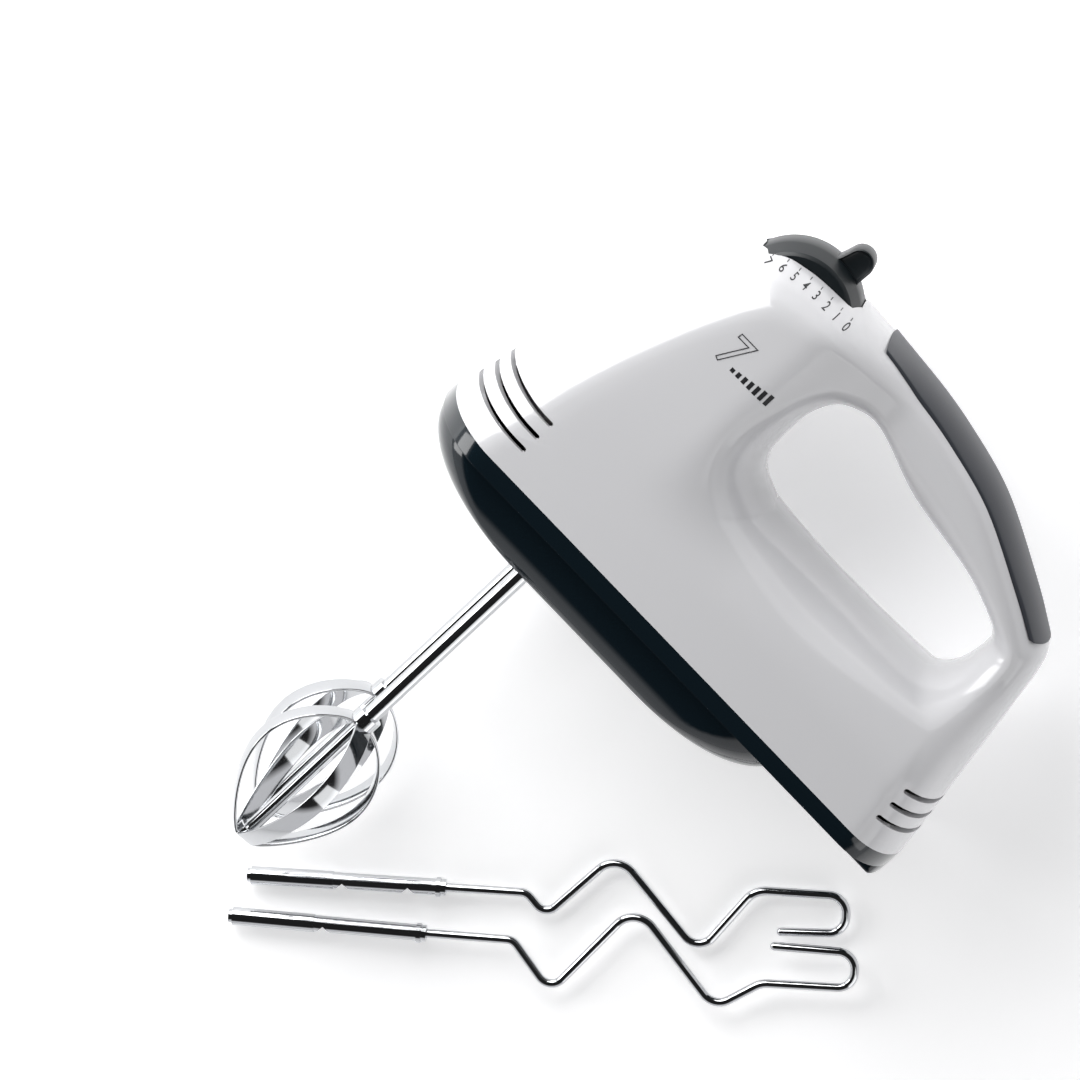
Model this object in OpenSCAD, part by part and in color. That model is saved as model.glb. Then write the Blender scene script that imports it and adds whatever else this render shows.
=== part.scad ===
// Hand mixer with two beaters and two dough hooks, laid on its right flank.
// Row frame: +X towards the heel, +Y towards the handle, +Z up from the table through
// the left flank. The origin is on the right flank, below the point where the motor axis
// crosses the plane of the two spindles. Shapes are drawn about the mid-plane, with y = 0
// at the joint between housing and base cover, and lay() then sets them in the row frame.

/* [Body] */
// Reach of the nose ahead of the spindle plane
nose_reach = 53.7; // [45:0.1:70]
// Reach of the heel behind the spindle plane
heel_reach = 138.5; // [115:0.1:170]
// Height of the crest above the base joint
crest_h = 105; // [98:0.5:130]
// Half of the body's width at the base joint
body_half_w = 39; // [37:0.5:50]
// Half of the handle's width
handle_half_w = 17.5; // [15:0.5:24]
// Thickness of the plastic shells
wall = 2.2; // [1.6:0.1:3]
// Radius of the edge round the nose and crest
edge_r = 20; // [14:1:26]

/* [Handle opening] */
// Front end of the opening, behind the spindle plane
open_front = 24; // [20:1:30]
// Length of the opening
open_len = 86; // [70:1:100]
// Height of the opening's floor above the base joint
open_floor = 42; // [40:1:50]
// Height of the opening at its tallest place
open_h = 42; // [34:1:50]

/* [Base cover] */
// Depth of the base cover's rim
rim_h = 5.5; // [4:0.5:8]
// Depth of the base cover's hull below the joint
base_depth = 22; // [18:0.5:28]
// Half width of the hull
hull_half_w = 32; // [30:0.5:36]
// Length of the foot pad under the heel
foot_len = 18; // [12:1:26]

/* [Drive] */
// Distance between the two spindles
spindle_pitch = 36; // [34:0.5:44]
// Height of the motor axis above the base joint
motor_h = 14; // [12:0.5:16]
// Teeth on each worm wheel
wheel_teeth = 24; // [20:1:28]
// Face width of each worm wheel
wheel_face = 5; // [3:0.5:6]
// Radius of the motor shaft
shaft_r = 2.5; // [2:0.1:3.2]
// Radius of the armature
armature_r = 12.6; // [10:0.1:14]
// Length of the stator stack
stack_len = 22; // [16:1:28]
// Radius of the cooling fan
fan_r = 18; // [14:0.5:19]
// Running clearance between a shaft and its bore, on the radius
run_gap = 0.05; // [0.02:0.01:0.1]

/* [Beaters] */
// Radius of a beater's shaft
beater_r = 2.75; // [2.4:0.05:3.2]
// Greatest radius of a beater's head
head_r = 20.4; // [16:0.2:21]
// Length of a beater's head
head_len = 50; // [40:1:60]
// Drop of the collar below the base joint
collar_drop = 91; // [80:1:110]
// Width of a beater's strap
strap_w = 6; // [4:0.5:7]
// Thickness of a beater's strap
strap_t = 0.9; // [0.7:0.1:1.4]

/* [Dough hooks] */
// Radius of a hook's shank
shank_r = 2.85; // [2.4:0.05:3.2]
// Length of a hook's shank
shank_len = 61; // [50:1:75]
// Radius of a hook's wire
wire_r = 1.4; // [1:0.1:2]

/* [Speed selector] */
// Radius of the selector's drum
drum_r = 20.5; // [19:0.5:22]
// Half width of the selector's drum
drum_half_w = 12; // [10:0.5:13]
// Height of the thumb tab above the drum
tab_h = 8.2; // [6:0.2:12]
// Turn of the selector from off to the highest speed, in degrees
selector_turn = 34; // [24:1:36]
// Travel of the selector when it is pressed to eject the beaters
press_travel = 4; // [3:0.5:5]

/* [Hidden] */
$fn = 48;

// ---- small helpers -------------------------------------------------------------------
function ramp(v, a, b) = let(t = min(max((v - a) / (b - a), 0), 1)) t * t * (3 - 2 * t);
function mix(a, b, t) = a + (b - a) * t;
function seg_dist(p, a, b) =
    let(ab = b - a, t = min(max(((p - a) * ab) / max(ab * ab, 1e-9), 0), 1)) norm(p - a - ab * t);
function line_dist(p, pts) = min([for (i = [0:len(pts) - 2]) seg_dist(p, pts[i], pts[i + 1])]);
function spline_point(a, b, c, d, t) =
    0.5 * (2 * b + (c - a) * t + (2 * a - 5 * b + 4 * c - d) * t * t
        + (3 * b - a - 3 * c + d) * t * t * t);
// Smooth open line through the points, with steps places per span
function spline(p, steps) = [
    for (i = [0:len(p) - 2]) for (k = [0:steps - 1])
        spline_point(p[max(i - 1, 0)], p[i], p[i + 1], p[min(i + 2, len(p) - 1)], k / steps),
    p[len(p) - 1]];
// Smooth closed line through the points
function loop_spline(p, steps) = let(n = len(p)) [
    for (i = [0:n - 1]) for (k = [0:steps - 1])
        spline_point(p[(i + n - 1) % n], p[i], p[(i + 1) % n], p[(i + 2) % n], k / steps)];

module lay() translate([0, -motor_h, body_half_w]) children();
// A cylinder along X, or along Y
module rod_x(r, x0, x1) translate([x0, 0, 0]) rotate([0, 90, 0]) cylinder(r = r, h = x1 - x0);
module rod_y(r, y0, y1) translate([0, y1, 0]) rotate([90, 0, 0]) cylinder(r = r, h = y1 - y0);
module ring_y(r_out, r_in, y0, y1) difference() {
    rod_y(r_out, y0, y1);
    rod_y(r_in, y0 - 1, y1 + 1);
}
module ring_x(r_out, r_in, x0, x1) difference() {
    rod_x(r_out, x0, x1);
    rod_x(r_in, x0 - 1, x1 + 1);
}
module block(x0, x1, y0, y1, z0, z1) translate([x0, y0, z0]) cube([x1 - x0, y1 - y0, z1 - z0]);
// Keeps a shape of many facets as one mesh, at its own size
module as_mesh() resize([0, 0, 0]) children();

// ---- the body's outline ----------------------------------------------------------------
// Nose, crest, handle and heel, as shares of the nose's or heel's reach and the crest
crest_shape = [
    [-1, 0], [-0.975, 0.085], [-0.944, 0.169], [-0.907, 0.3], [-0.845, 0.445],
    [-0.762, 0.579], [-0.605, 0.764], [-0.359, 0.945], [-0.15, 0.99],
    [0.06, 1], [0.159, 0.997], [0.305, 0.99], [0.438, 0.965], [0.595, 0.911],
    [0.771, 0.798], [0.856, 0.734], [0.892, 0.7], [0.912, 0.65], [0.93, 0.53],
    [0.965, 0.265], [1, 0]];
crest_line = spline([for (p = crest_shape)
    [p[0] * (p[0] < 0 ? nose_reach : heel_reach), p[1] * crest_h]], 2);
joint_steps = 22;
// Along the joint, closer together near the two ends
joint_line = [for (i = [1:joint_steps - 1])
    [mix(heel_reach, -nose_reach, (1 - cos(180 * i / joint_steps)) / 2), 0]];
outer_loop = concat(crest_line, joint_line);
open_shape = [
    [0, 0.38], [0.002, 0.7], [0.048, 0.905], [0.123, 0.986], [0.19, 1], [0.273, 0.955],
    [0.465, 0.817], [0.748, 0.735], [0.906, 0.636], [0.972, 0.564], [1, 0.467],
    [0.985, 0.2], [0.93, 0.035], [0.85, 0], [0.5, 0], [0.2, 0.012], [0.145, 0.035],
    [0.073, 0.1], [0.024, 0.21]];
open_line = loop_spline([for (p = open_shape)
    [open_front + p[0] * open_len, open_floor + p[1] * open_h]], 2);
open_mid = [open_front + 0.48 * open_len, open_floor + 0.42 * open_h];
function cross2(a, b) = a[0] * b[1] - a[1] * b[0];
// Where the ray from the opening's middle towards p leaves the opening
function open_hit(p) =
    let(d = p - open_mid, n = len(open_line),
        hits = [for (i = [0:n - 1])
            let(a = open_line[i] - open_mid, e = open_line[(i + 1) % n] - open_line[i],
                det = cross2(d, e), t = cross2(a, e) / det, s = cross2(a, d) / det)
            if (abs(det) > 1e-9 && t > 0 && s >= 0 && s <= 1) t])
    open_mid + d * min(hits);
inner_loop = [for (p = outer_loop) open_hit(p)];
loop_n = len(outer_loop);

// ---- the body's half width -----------------------------------------------------------
function quarter(u, n) = pow(max(1 - pow(1 - min(max(u, 0), 1), 2), 0), 1 / n);
function half_width(p, inset) =
    let(at_handle = ramp(p[0], 5, 45))
    body_half_w - inset
        - at_handle * (body_half_w - handle_half_w) * ramp(p[1], 0.17 * crest_h, 0.64 * crest_h)
        - (1 - at_handle) * 9 * ramp(p[1], 0.3 * crest_h, 0.9 * crest_h);
function outer_r(p) = edge_r - (edge_r - 10) * ramp(p[0], -25, 25)
    + 7 * ramp(p[0], 90, 120) * (1 - ramp(p[1], 40, 70));
function inner_r(p) = 14 - 5 * ramp(p[1], 55, 75);
// Height of the surface above the mid-plane, where gap is the way to the opening
function skin(p, gap, inset) =
    half_width(p, inset)
        * quarter((line_dist(p, crest_line) - inset) / (outer_r(p) - inset / 2), 2.2)
        * quarter((gap - inset) / (inner_r(p) - inset / 2), 2.4);

edge_steps = 5;
flat_steps = 3;
// Places between the outer edge (0) and the opening (1), closer together at both edges
function places(len_s, r_a, r_b) =
    let(k = min(1, 0.98 * len_s / (r_a + r_b)), a = r_a * k / len_s, b = r_b * k / len_s)
    concat(
        [for (i = [0:edge_steps - 1]) a * (1 - cos(90 * i / edge_steps))],
        [for (i = [0:flat_steps]) mix(a, 1 - b, i / flat_steps)],
        [for (i = [1:edge_steps]) 1 - b * (1 - sin(90 * i / edge_steps))]);
function section(i, inset) =
    let(a = outer_loop[i], b = inner_loop[i], on_joint = i >= len(crest_line),
        way = norm(b - a), dir = (b - a) / way,
        a1 = on_joint ? a : a + dir * inset, b1 = b - dir * inset, way1 = norm(b1 - a1),
        steps = places(way1, outer_r(a) * 1.1, inner_r(b)))
    [for (k = [0:len(steps) - 1])
        let(p = mix(a1, b1, steps[k]), edge = (k == 0 && !on_joint) || k == len(steps) - 1)
        [p[0], p[1], edge ? 0 : skin(p, norm(b - p), inset)]];
ring_n = 2 * edge_steps + flat_steps + 1;
shell_points = concat(
    [for (i = [0:loop_n - 1]) each section(i, 0)],
    [for (i = [0:loop_n - 1]) each section(i, wall)]);
// Both skins are ring_n wide; the inner skin runs the other way round
function at(i, k) = (i % loop_n) * ring_n + k;
inner_at = loop_n * ring_n;
shell_faces = concat(
    [for (i = [0:loop_n - 1]) for (k = [0:ring_n - 2]) each [
        [at(i, k), at(i + 1, k), at(i + 1, k + 1)], [at(i, k), at(i + 1, k + 1), at(i, k + 1)]]],
    [for (i = [0:loop_n - 1]) for (k = [0:ring_n - 2]) each [
        [inner_at + at(i, k), inner_at + at(i + 1, k + 1), inner_at + at(i + 1, k)],
        [inner_at + at(i, k), inner_at + at(i, k + 1), inner_at + at(i + 1, k + 1)]]],
    [for (i = [0:loop_n - 1]) each [
        [at(i, 0), inner_at + at(i, 0), at(i + 1, 0)],
        [at(i + 1, 0), inner_at + at(i, 0), inner_at + at(i + 1, 0)],
        [at(i, ring_n - 1), at(i + 1, ring_n - 1), inner_at + at(i, ring_n - 1)],
        [at(i + 1, ring_n - 1), inner_at + at(i + 1, ring_n - 1), inner_at + at(i, ring_n - 1)]]]);
// The left half shell, with its rim on the mid-plane
module half_shell() polyhedron(points = shell_points, faces = shell_faces, convexity = 10);

// ---- what is cut from the shells --------------------------------------------------------
vent_h = 1.7;
vent_ys = [9, 14.6, 20.2];
vent_front_x = -28;
vent_rear_x = heel_reach - 15;
vent_inner_z = 8;
module vents() for (y = vent_ys) {
    block(-nose_reach - 5, vent_front_x, y - vent_h / 2, y + vent_h / 2, vent_inner_z,
        body_half_w + 2);
    translate([vent_front_x, y, vent_inner_z]) cylinder(r = vent_h / 2, h = body_half_w, $fn = 16);
    block(vent_rear_x, heel_reach + 5, y - vent_h / 2, y + vent_h / 2, vent_inner_z,
        body_half_w + 2);
    translate([vent_rear_x, y, vent_inner_z]) cylinder(r = vent_h / 2, h = body_half_w, $fn = 16);
}

drum_x = -2;
drum_y = crest_h - 15.7;
drum_gap = 0.4;
// Room for the drum, pressed or not
module drum_room() translate([drum_x, drum_y, -drum_half_w - drum_gap]) {
    cylinder(r = drum_r + drum_gap, h = 2 * (drum_half_w + drum_gap), $fn = 64);
    translate([0, -press_travel, 0])
        cylinder(r = drum_r + drum_gap, h = 2 * (drum_half_w + drum_gap), $fn = 64);
}

gland_y = 34;
gland_r = 6.2;
gland_len = 14;
gland_x = heel_reach * (1 - 0.035 * gland_y / (0.265 * crest_h)) - 1;
cord_r = 3.6;

// Screws that join the halves: x, y
screw_sites = [
    [-0.58 * nose_reach, 0.42 * crest_h], [open_front + 10, crest_h - 11.5],
    [open_front + open_len + 7.5, open_floor + 14],
    [heel_reach - 22, 0.24 * crest_h]];
screw_r = 1.5;
screw_head_r = 3;
boss_r = 3.9;
screw_depth = 12;
// Height at which the inner skin stands above a place in the mid-plane
function inner_skin(p) = skin(p, norm(open_hit(p) - p), wall);
function lowest_skin(p, r) = min([for (a = [0:45:315]) inner_skin(p + r * [cos(a), sin(a)])]);
module screw_bosses() for (s = screw_sites) translate([s[0], s[1], 0])
    cylinder(r = boss_r, h = lowest_skin(s, boss_r) + 0.4, $fn = 20);
// Lugs that take the screws of the base cover at the heel
base_lug_x = heel_reach - 33;
base_lug_z = 21;
base_lug_h = 9;
module base_lug() translate([base_lug_x, 0, base_lug_z]) {
    rod_y(boss_r, 0.2, base_lug_h, $fn = 24);
    block(-1.2, 1.2, 0.2, base_lug_h, 0,
        inner_skin([base_lug_x, base_lug_h / 2]) + wall / 2 - base_lug_z);
}

// ---- grip inlay ---------------------------------------------------------------------------
grip_first = 20;
grip_last = 31;
grip_proud = 0.5;
grip_depth = 1.4;
grip_half_w = handle_half_w - 3;
grip_n = 10;
// Depth of the body's skin below its edge, at height z above the mid-plane
function skin_drop(p, z) =
    let(w = half_width(p, 0), r = outer_r(p) * 0.95)
    r * (1 - sqrt(max(1 - pow(min(abs(z) / w, 1), 2.2), 0)));
// Each ring of the grip stands between two sections of the shell, so no edges coincide
grip_between = 0.3;
function grip_section(i, lift) =
    let(a = mix(outer_loop[i], outer_loop[i + 1], grip_between),
        b = mix(inner_loop[i], inner_loop[i + 1], grip_between), dir = (b - a) / norm(b - a),
        mid = mix(a, b, 0.12))
    [for (k = [0:grip_n])
        let(z = mix(-grip_half_w, grip_half_w, k / grip_n), d = skin_drop(mid, z) - lift,
            q = a + dir * d)
        [q[0], q[1], z * (1 + lift / 60)]];
grip_rings = [for (i = [grip_first:grip_last])
    concat(grip_section(i, grip_proud), [for (k = [grip_n:-1:0]) grip_section(i, -grip_depth)[k]])];
grip_ring_n = 2 * (grip_n + 1);
grip_count = len(grip_rings);
// A tube of rings, closed at both ends by flat fans
module loft(rings) {
    m = len(rings[0]);
    n = len(rings);
    polyhedron(
        points = [for (r = rings) each r],
        faces = concat(
            [for (i = [0:n - 2]) for (k = [0:m - 1]) each [
                [i * m + k, (i + 1) * m + k, (i + 1) * m + (k + 1) % m],
                [i * m + k, (i + 1) * m + (k + 1) % m, i * m + (k + 1) % m]]],
            [[for (k = [0:m - 1]) k]],
            [[for (k = [m - 1:-1:0]) (n - 1) * m + k]]),
        convexity = 8);
}
module grip_solid() as_mesh() loft(grip_rings);

// ---- base cover ---------------------------------------------------------------------------
hull_front = nose_reach - 0.8;
hull_rear = 95.5;
hull_steps = 5;
hull_side_n = 16;
function hull_front_x(q) = -hull_front + 36 * (1 - sqrt(1 - q * q));
function hull_rear_x(q) = hull_rear - 27 * (1 - sqrt(1 - q * q));
// The hull is wide enough for the gearbox inside it
box_gap = 0.3;
function hull_w(q) = max(hull_half_w, box_half_z + wall + box_gap) - 7 * (1 - sqrt(1 - q * q));
function hull_z(x, q, inset) = max(hull_w(q) - inset, 0)
    * quarter((x - hull_front_x(q) - inset) / 19, 2.2)
    * quarter((hull_rear_x(q) - inset - x) / 24, 2.2);
function hull_ring(q, y, inset) =
    let(a = hull_front_x(q) + inset, b = hull_rear_x(q) - inset,
        xs = [for (k = [0:hull_side_n]) mix(a, b, (1 - cos(180 * k / hull_side_n)) / 2)])
    concat(
        [for (k = [0:hull_side_n]) [xs[k], y, -hull_z(xs[k], q, inset)]],
        [for (k = [hull_side_n - 1:-1:1]) [xs[k], y, hull_z(xs[k], q, inset)]]);
module hull_solid(inset, top) loft(concat(
    [hull_ring(0, top, inset)],
    [for (k = [0:hull_steps])
        let(q = sin(90 * k / hull_steps))
        hull_ring(q, -rim_h - (base_depth - inset - rim_h) * q, inset)]));
joint_edge = [for (i = [len(crest_line) - 1:loop_n - 1])
    let(p = outer_loop[i]) [p[0], i == len(crest_line) - 1 ? 0 : skin(p, 99, 0)]];
module rim_plan() polygon(concat(
    joint_edge, [[-nose_reach, 0]],
    [for (i = [len(joint_edge) - 1:-1:1]) [joint_edge[i][0], -joint_edge[i][1]]]));
foot_drop = 9.3;
foot_half_w = 24;
module foot_plan() intersection() {
    translate([heel_reach - foot_len, -foot_half_w]) square([foot_len + 5, 2 * foot_half_w]);
    offset(delta = -0.6) rim_plan();
}
spindle_z = spindle_pitch / 2;
socket_r = beater_r + 2.45;
base_screw_x = 21;
base_screw_z = 16.5;
module base_cover() color("#1f2a33") lay() as_mesh() difference() {
    union() {
        rotate([90, 0, 0]) linear_extrude(rim_h) rim_plan();
        hull_solid(0, -1);
        translate([0, -rim_h + 0.5, 0]) rotate([90, 0, 0])
            linear_extrude(foot_drop - rim_h + 0.5) foot_plan();
    }
    translate([0, 1, 0]) rotate([90, 0, 0])
        linear_extrude(rim_h - wall + 1) offset(delta = -wall) rim_plan();
    hull_solid(wall, 1);
    for (s = [-1, 1]) {
        translate([0, 0, s * spindle_z]) rod_y(socket_r + 0.6, -base_depth - 1, 1, $fn = 48);
        translate([base_screw_x, 0, s * base_screw_z]) rod_y(1.7, -base_depth - 1, 1, $fn = 20);
        translate([base_screw_x, 0, s * base_screw_z])
            rod_y(3.1, -base_depth - 1, -base_depth + 1.1, $fn = 24);
        translate([base_lug_x, 0, s * base_lug_z]) rod_y(1.7, -base_depth, 1, $fn = 20);
    }
}
module base_screws() color("silver") lay() for (s = [-1, 1]) {
    translate([base_screw_x, 0, s * base_screw_z]) {
        rod_y(2.9, -base_depth + 0.1, -base_depth + 1.1);
        rod_y(screw_r, -base_depth + 1.1, -base_depth + 12);
    }
    translate([base_lug_x, 0, s * base_lug_z]) {
        rod_y(2.9, -rim_h - 1.6, -rim_h);
        rod_y(screw_r, -rim_h, base_lug_h - 2);
    }
}

// ---- housing -------------------------------------------------------------------------------
module shell_cuts() {
    vents();
    drum_room();
    translate([0, gland_y, 0]) rod_x(gland_r, gland_x - gland_len, gland_x + 9, $fn = 32);
}
module housing_left() color("white") lay() as_mesh() difference() {
    union() {
        half_shell();
        screw_bosses();
        base_lug();
    }
    shell_cuts();
    grip_solid();
    for (s = screw_sites) translate([s[0], s[1], -1]) cylinder(r = 1.3, h = 1 + screw_depth, $fn = 20);
    translate([base_lug_x, 0, base_lug_z]) rod_y(1.3, -1, base_lug_h - 1, $fn = 20);
}
module housing_right() color("white") lay() as_mesh() difference() {
    mirror([0, 0, 1]) union() {
        half_shell();
        screw_bosses();
        base_lug();
    }
    mirror([0, 0, 1]) shell_cuts();
    grip_solid();
    for (s = screw_sites) translate([s[0], s[1], -body_half_w - 1]) {
        cylinder(r = 1.7, h = body_half_w + 2, $fn = 20);
        cylinder(r = screw_head_r + 0.2, h = body_half_w + 1 - 8, $fn = 24);
    }
    translate([base_lug_x, 0, -base_lug_z]) rod_y(1.3, -1, base_lug_h - 1, $fn = 20);
}
module housing_screws() color("silver") lay() for (s = screw_sites) translate([s[0], s[1], 0]) {
    translate([0, 0, -10.2]) cylinder(r = screw_head_r, h = 2.2);
    translate([0, 0, -8]) cylinder(r = screw_r, h = 8 + screw_depth - 2);
}
module handle_grip() color("#8d9296") lay() grip_solid();
module cord_gland() color("#222222") lay() translate([0, gland_y, 0]) difference() {
    union() {
        rod_x(gland_r, gland_x - 2.5, gland_x);
        rod_x(gland_r - 1, gland_x - gland_len, gland_x - 2.5);
        rod_x(gland_r, gland_x - gland_len, gland_x - gland_len + 3);
    }
    rod_x(cord_r, gland_x - gland_len - 1, gland_x + 1);
}

// ---- speed selector and ejector ---------------------------------------------------------------
drum_front = 62;
drum_back = 40 + selector_turn + 4;
drum_wall = 2.4;
pin_r = 2;
hub_r = 4.6;
tab_at = 9;
tab_half_w = 4.5;
carriage_gap = 0.4;
module wedge(a0, a1, r) polygon(concat([[0, 0]],
    [for (k = [0:8]) let(a = mix(a0, a1, k / 8)) 1.2 * r * [sin(a), cos(a)]]));
module drum_sector() intersection() {
    circle(drum_r, $fn = 96);
    wedge(-drum_front, drum_back, drum_r);
}
module speed_selector() color("#2c353c") lay() translate([drum_x, drum_y, 0]) difference() {
    union() {
        translate([0, 0, -drum_half_w]) linear_extrude(2 * drum_half_w) difference() {
            drum_sector();
            circle(drum_r - drum_wall, $fn = 96);
        }
        for (z = [-drum_half_w, drum_half_w - 2]) translate([0, 0, z]) linear_extrude(2)
            drum_sector();
        cylinder(r = hub_r, h = 2 * drum_half_w, center = true);
        translate([0, 0, -tab_half_w]) linear_extrude(2 * tab_half_w) rotate(-tab_at) {
            translate([0, drum_r + tab_h - 4.4]) circle(4.4);
            polygon([[-5.2, drum_r - 1.2], [-4.3, drum_r + tab_h - 5],
                [4.3, drum_r + tab_h - 5], [5.2, drum_r - 1.2]]);
        }
    }
    cylinder(r = pin_r + run_gap, h = 4 * drum_half_w, center = true);
}
cheek_z = drum_half_w + carriage_gap;
cheek_t = 2.4;
carriage_y = drum_y - 23;
guide_r = 2.4;
rod_r = 4.2;
fork_y = 34;
fork_t = 3;
finger_r = 2.3;
beater_top = 20;
socket_top = 26.6;
cover_y0 = 20.5;
cover_y1 = 25;
module selector_pin() color("silver") lay() translate([drum_x, drum_y, 0])
    cylinder(r = pin_r, h = 2 * (cheek_z + cheek_t) + 1, center = true);
module ejector_carriage() color("#d8d8d4") lay() difference() {
    union() {
        for (s = [-1, 1]) block(drum_x - 6, drum_x + 6, carriage_y, drum_y + 5,
            s > 0 ? cheek_z : -cheek_z - cheek_t, s > 0 ? cheek_z + cheek_t : -cheek_z);
        block(drum_x - 6, drum_x + 6, carriage_y - 3, carriage_y,
            -cheek_z - cheek_t, cheek_z + cheek_t);
        rod_y(rod_r, fork_y + fork_t, carriage_y - 2);
    }
    translate([drum_x, drum_y, 0]) cylinder(r = pin_r, h = 60, center = true);
    rod_y(guide_r + run_gap, fork_y, fork_y + 17);
}
module ejector_fork() color("#b9bcbf") lay() difference() {
    union() {
        block(-5, 5, fork_y, fork_y + fork_t, -spindle_z - 4, spindle_z + 4);
        for (s = [-1, 1]) translate([0, 0, s * spindle_z])
            rod_y(finger_r, beater_top + press_travel + 1, fork_y + 0.5);
    }
    rod_y(guide_r + run_gap, fork_y - 1, fork_y + fork_t + 1);
}
// A round wire wound about the Y axis, as a tube of m-sided rings
function helix_rings(r, wire, y0, y1, turns, per_turn, m) = [
    for (i = [0:turns * per_turn])
        let(a = 360 * i / per_turn, y = mix(y0, y1, i / (turns * per_turn)))
        [for (k = [0:m - 1])
            let(b = 360 * k / m, q = r + wire * cos(b))
            [q * cos(a), y + wire * sin(b), q * sin(a)]]];
spring_wire = 0.5;
spring_r = 4;
module ejector_spring() color("silver") lay()
    loft(helix_rings(spring_r, spring_wire, cover_y1 + spring_wire + 0.05,
        fork_y - spring_wire - 0.05, 5, 12, 6));
// A leaf on the carriage that clicks into the drum's hub
module detent_spring() color("silver") lay() translate([drum_x, drum_y, 0]) {
    block(-5, 5, carriage_y - drum_y, carriage_y - drum_y + 0.8, -4, 4);
    block(-5, -4.2, carriage_y - drum_y + 0.8, -hub_r - 1.4, -4, 4);
    block(-4.2, 4, -hub_r - 2.2, -hub_r - 1.4, -4, 4);
    translate([0, -hub_r - 1.4, -4]) cylinder(r = 0.9, h = 8);
}

// ---- switch and wiring ---------------------------------------------------------------------------
switch_x = -24;
module switch_block() color("#3a3a3a") lay() difference() {
    block(switch_x, switch_x + 17, 46, 58, -10, 10);
    for (z = [-6, 0, 6]) block(switch_x + 3, switch_x + 14, 52, 60, z - 1.6, z + 1.6);
}
module switch_contacts() color("#b5893c") lay() for (z = [-6, 0, 6]) {
    block(switch_x + 4, switch_x + 5, 52, 63, z - 1, z + 1);
    block(switch_x + 5, switch_x + 11, 62.2, 63, z - 1, z + 1);
}
module circuit_board() color("#3d7a3a") lay()
    block(heel_reach - 40, heel_reach - 38.4, 3, 33, -14, 14);
module suppressor() color("#c9a227") lay()
    block(heel_reach - 38.4, heel_reach - 30, 8, 22, -8, 8);
module terminal_block() color("#e8e4da") lay() difference() {
    block(heel_reach - 38.4, heel_reach - 29, 25, 32, -10, 10);
    for (z = [-6, 0, 6]) translate([heel_reach - 34, 0, z]) rod_y(1.6, 27, 33);
}

// ---- gearbox ------------------------------------------------------------------------------------
box_half_x = 24;
box_half_z = spindle_z + 11.5;
bush_r = socket_r + 2.3;
floor_y0 = -8;
floor_y1 = -4;
pillar_x = 20;
pillar_z = spindle_z + 8;
nose_bush_x = -box_half_x;
bush_len = 6;
shaft_bush_r = shaft_r + 2.5;
module gearbox_base() color("#d9d5cc") lay() difference() {
    union() {
        block(-box_half_x, box_half_x, floor_y0, floor_y1, -box_half_z, box_half_z);
        for (x = [-pillar_x, pillar_x]) for (z = [-pillar_z, pillar_z])
            translate([x, 0, z]) rod_y(3.2, floor_y1, cover_y0);
        block(nose_bush_x, nose_bush_x + bush_len, floor_y1, cover_y0, -9, 9);
        for (s = [-1, 1]) translate([base_screw_x - 1, 0, s * base_screw_z])
            rod_y(3.4, -base_depth + wall + 0.1, floor_y0);
    }
    for (s = [-1, 1]) {
        translate([0, 0, s * spindle_z]) rod_y(bush_r, floor_y0 - 1, floor_y1 + 1);
        translate([base_screw_x, 0, s * base_screw_z]) rod_y(screw_r, -base_depth, -base_depth + 13);
    }
    for (x = [-pillar_x, pillar_x]) for (z = [-pillar_z, pillar_z])
        translate([x, 0, z]) rod_y(screw_r, cover_y0 - 10, cover_y0 + 1);
    translate([0, motor_h, 0]) rod_x(shaft_bush_r, nose_bush_x - 1, nose_bush_x + bush_len + 1);
}
module gearbox_cover() color("#d9d5cc") lay() difference() {
    union() {
        block(-box_half_x, box_half_x, cover_y0, cover_y1, -box_half_z, box_half_z);
        rod_y(guide_r, cover_y1 - 1, cover_y1 + 19);
    }
    for (s = [-1, 1]) translate([0, 0, s * spindle_z]) rod_y(bush_r, cover_y0 - 1, cover_y1 + 1);
    for (x = [-pillar_x, pillar_x]) for (z = [-pillar_z, pillar_z])
        translate([x, 0, z]) rod_y(screw_r, cover_y0 - 1, cover_y1 + 1);
    if (motor_h + worm_tip + worm_gap > cover_y0)
        translate([0, motor_h, 0]) rod_x(worm_tip + worm_gap, -worm_len / 2 - 1, worm_len / 2 + 1);
}
module gearbox_screws() color("silver") lay()
    for (x = [-pillar_x, pillar_x]) for (z = [-pillar_z, pillar_z]) translate([x, 0, z]) {
        rod_y(screw_r, cover_y0 - 9, cover_y1);
        rod_y(2.8, cover_y1, cover_y1 + 2);
    }
module spindle_bushes() color("#b58a4a") lay() for (s = [-1, 1]) translate([0, 0, s * spindle_z]) {
    ring_y(bush_r, socket_r + run_gap, floor_y0, floor_y1);
    ring_y(bush_r, socket_r + run_gap, cover_y0, cover_y1);
}

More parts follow.
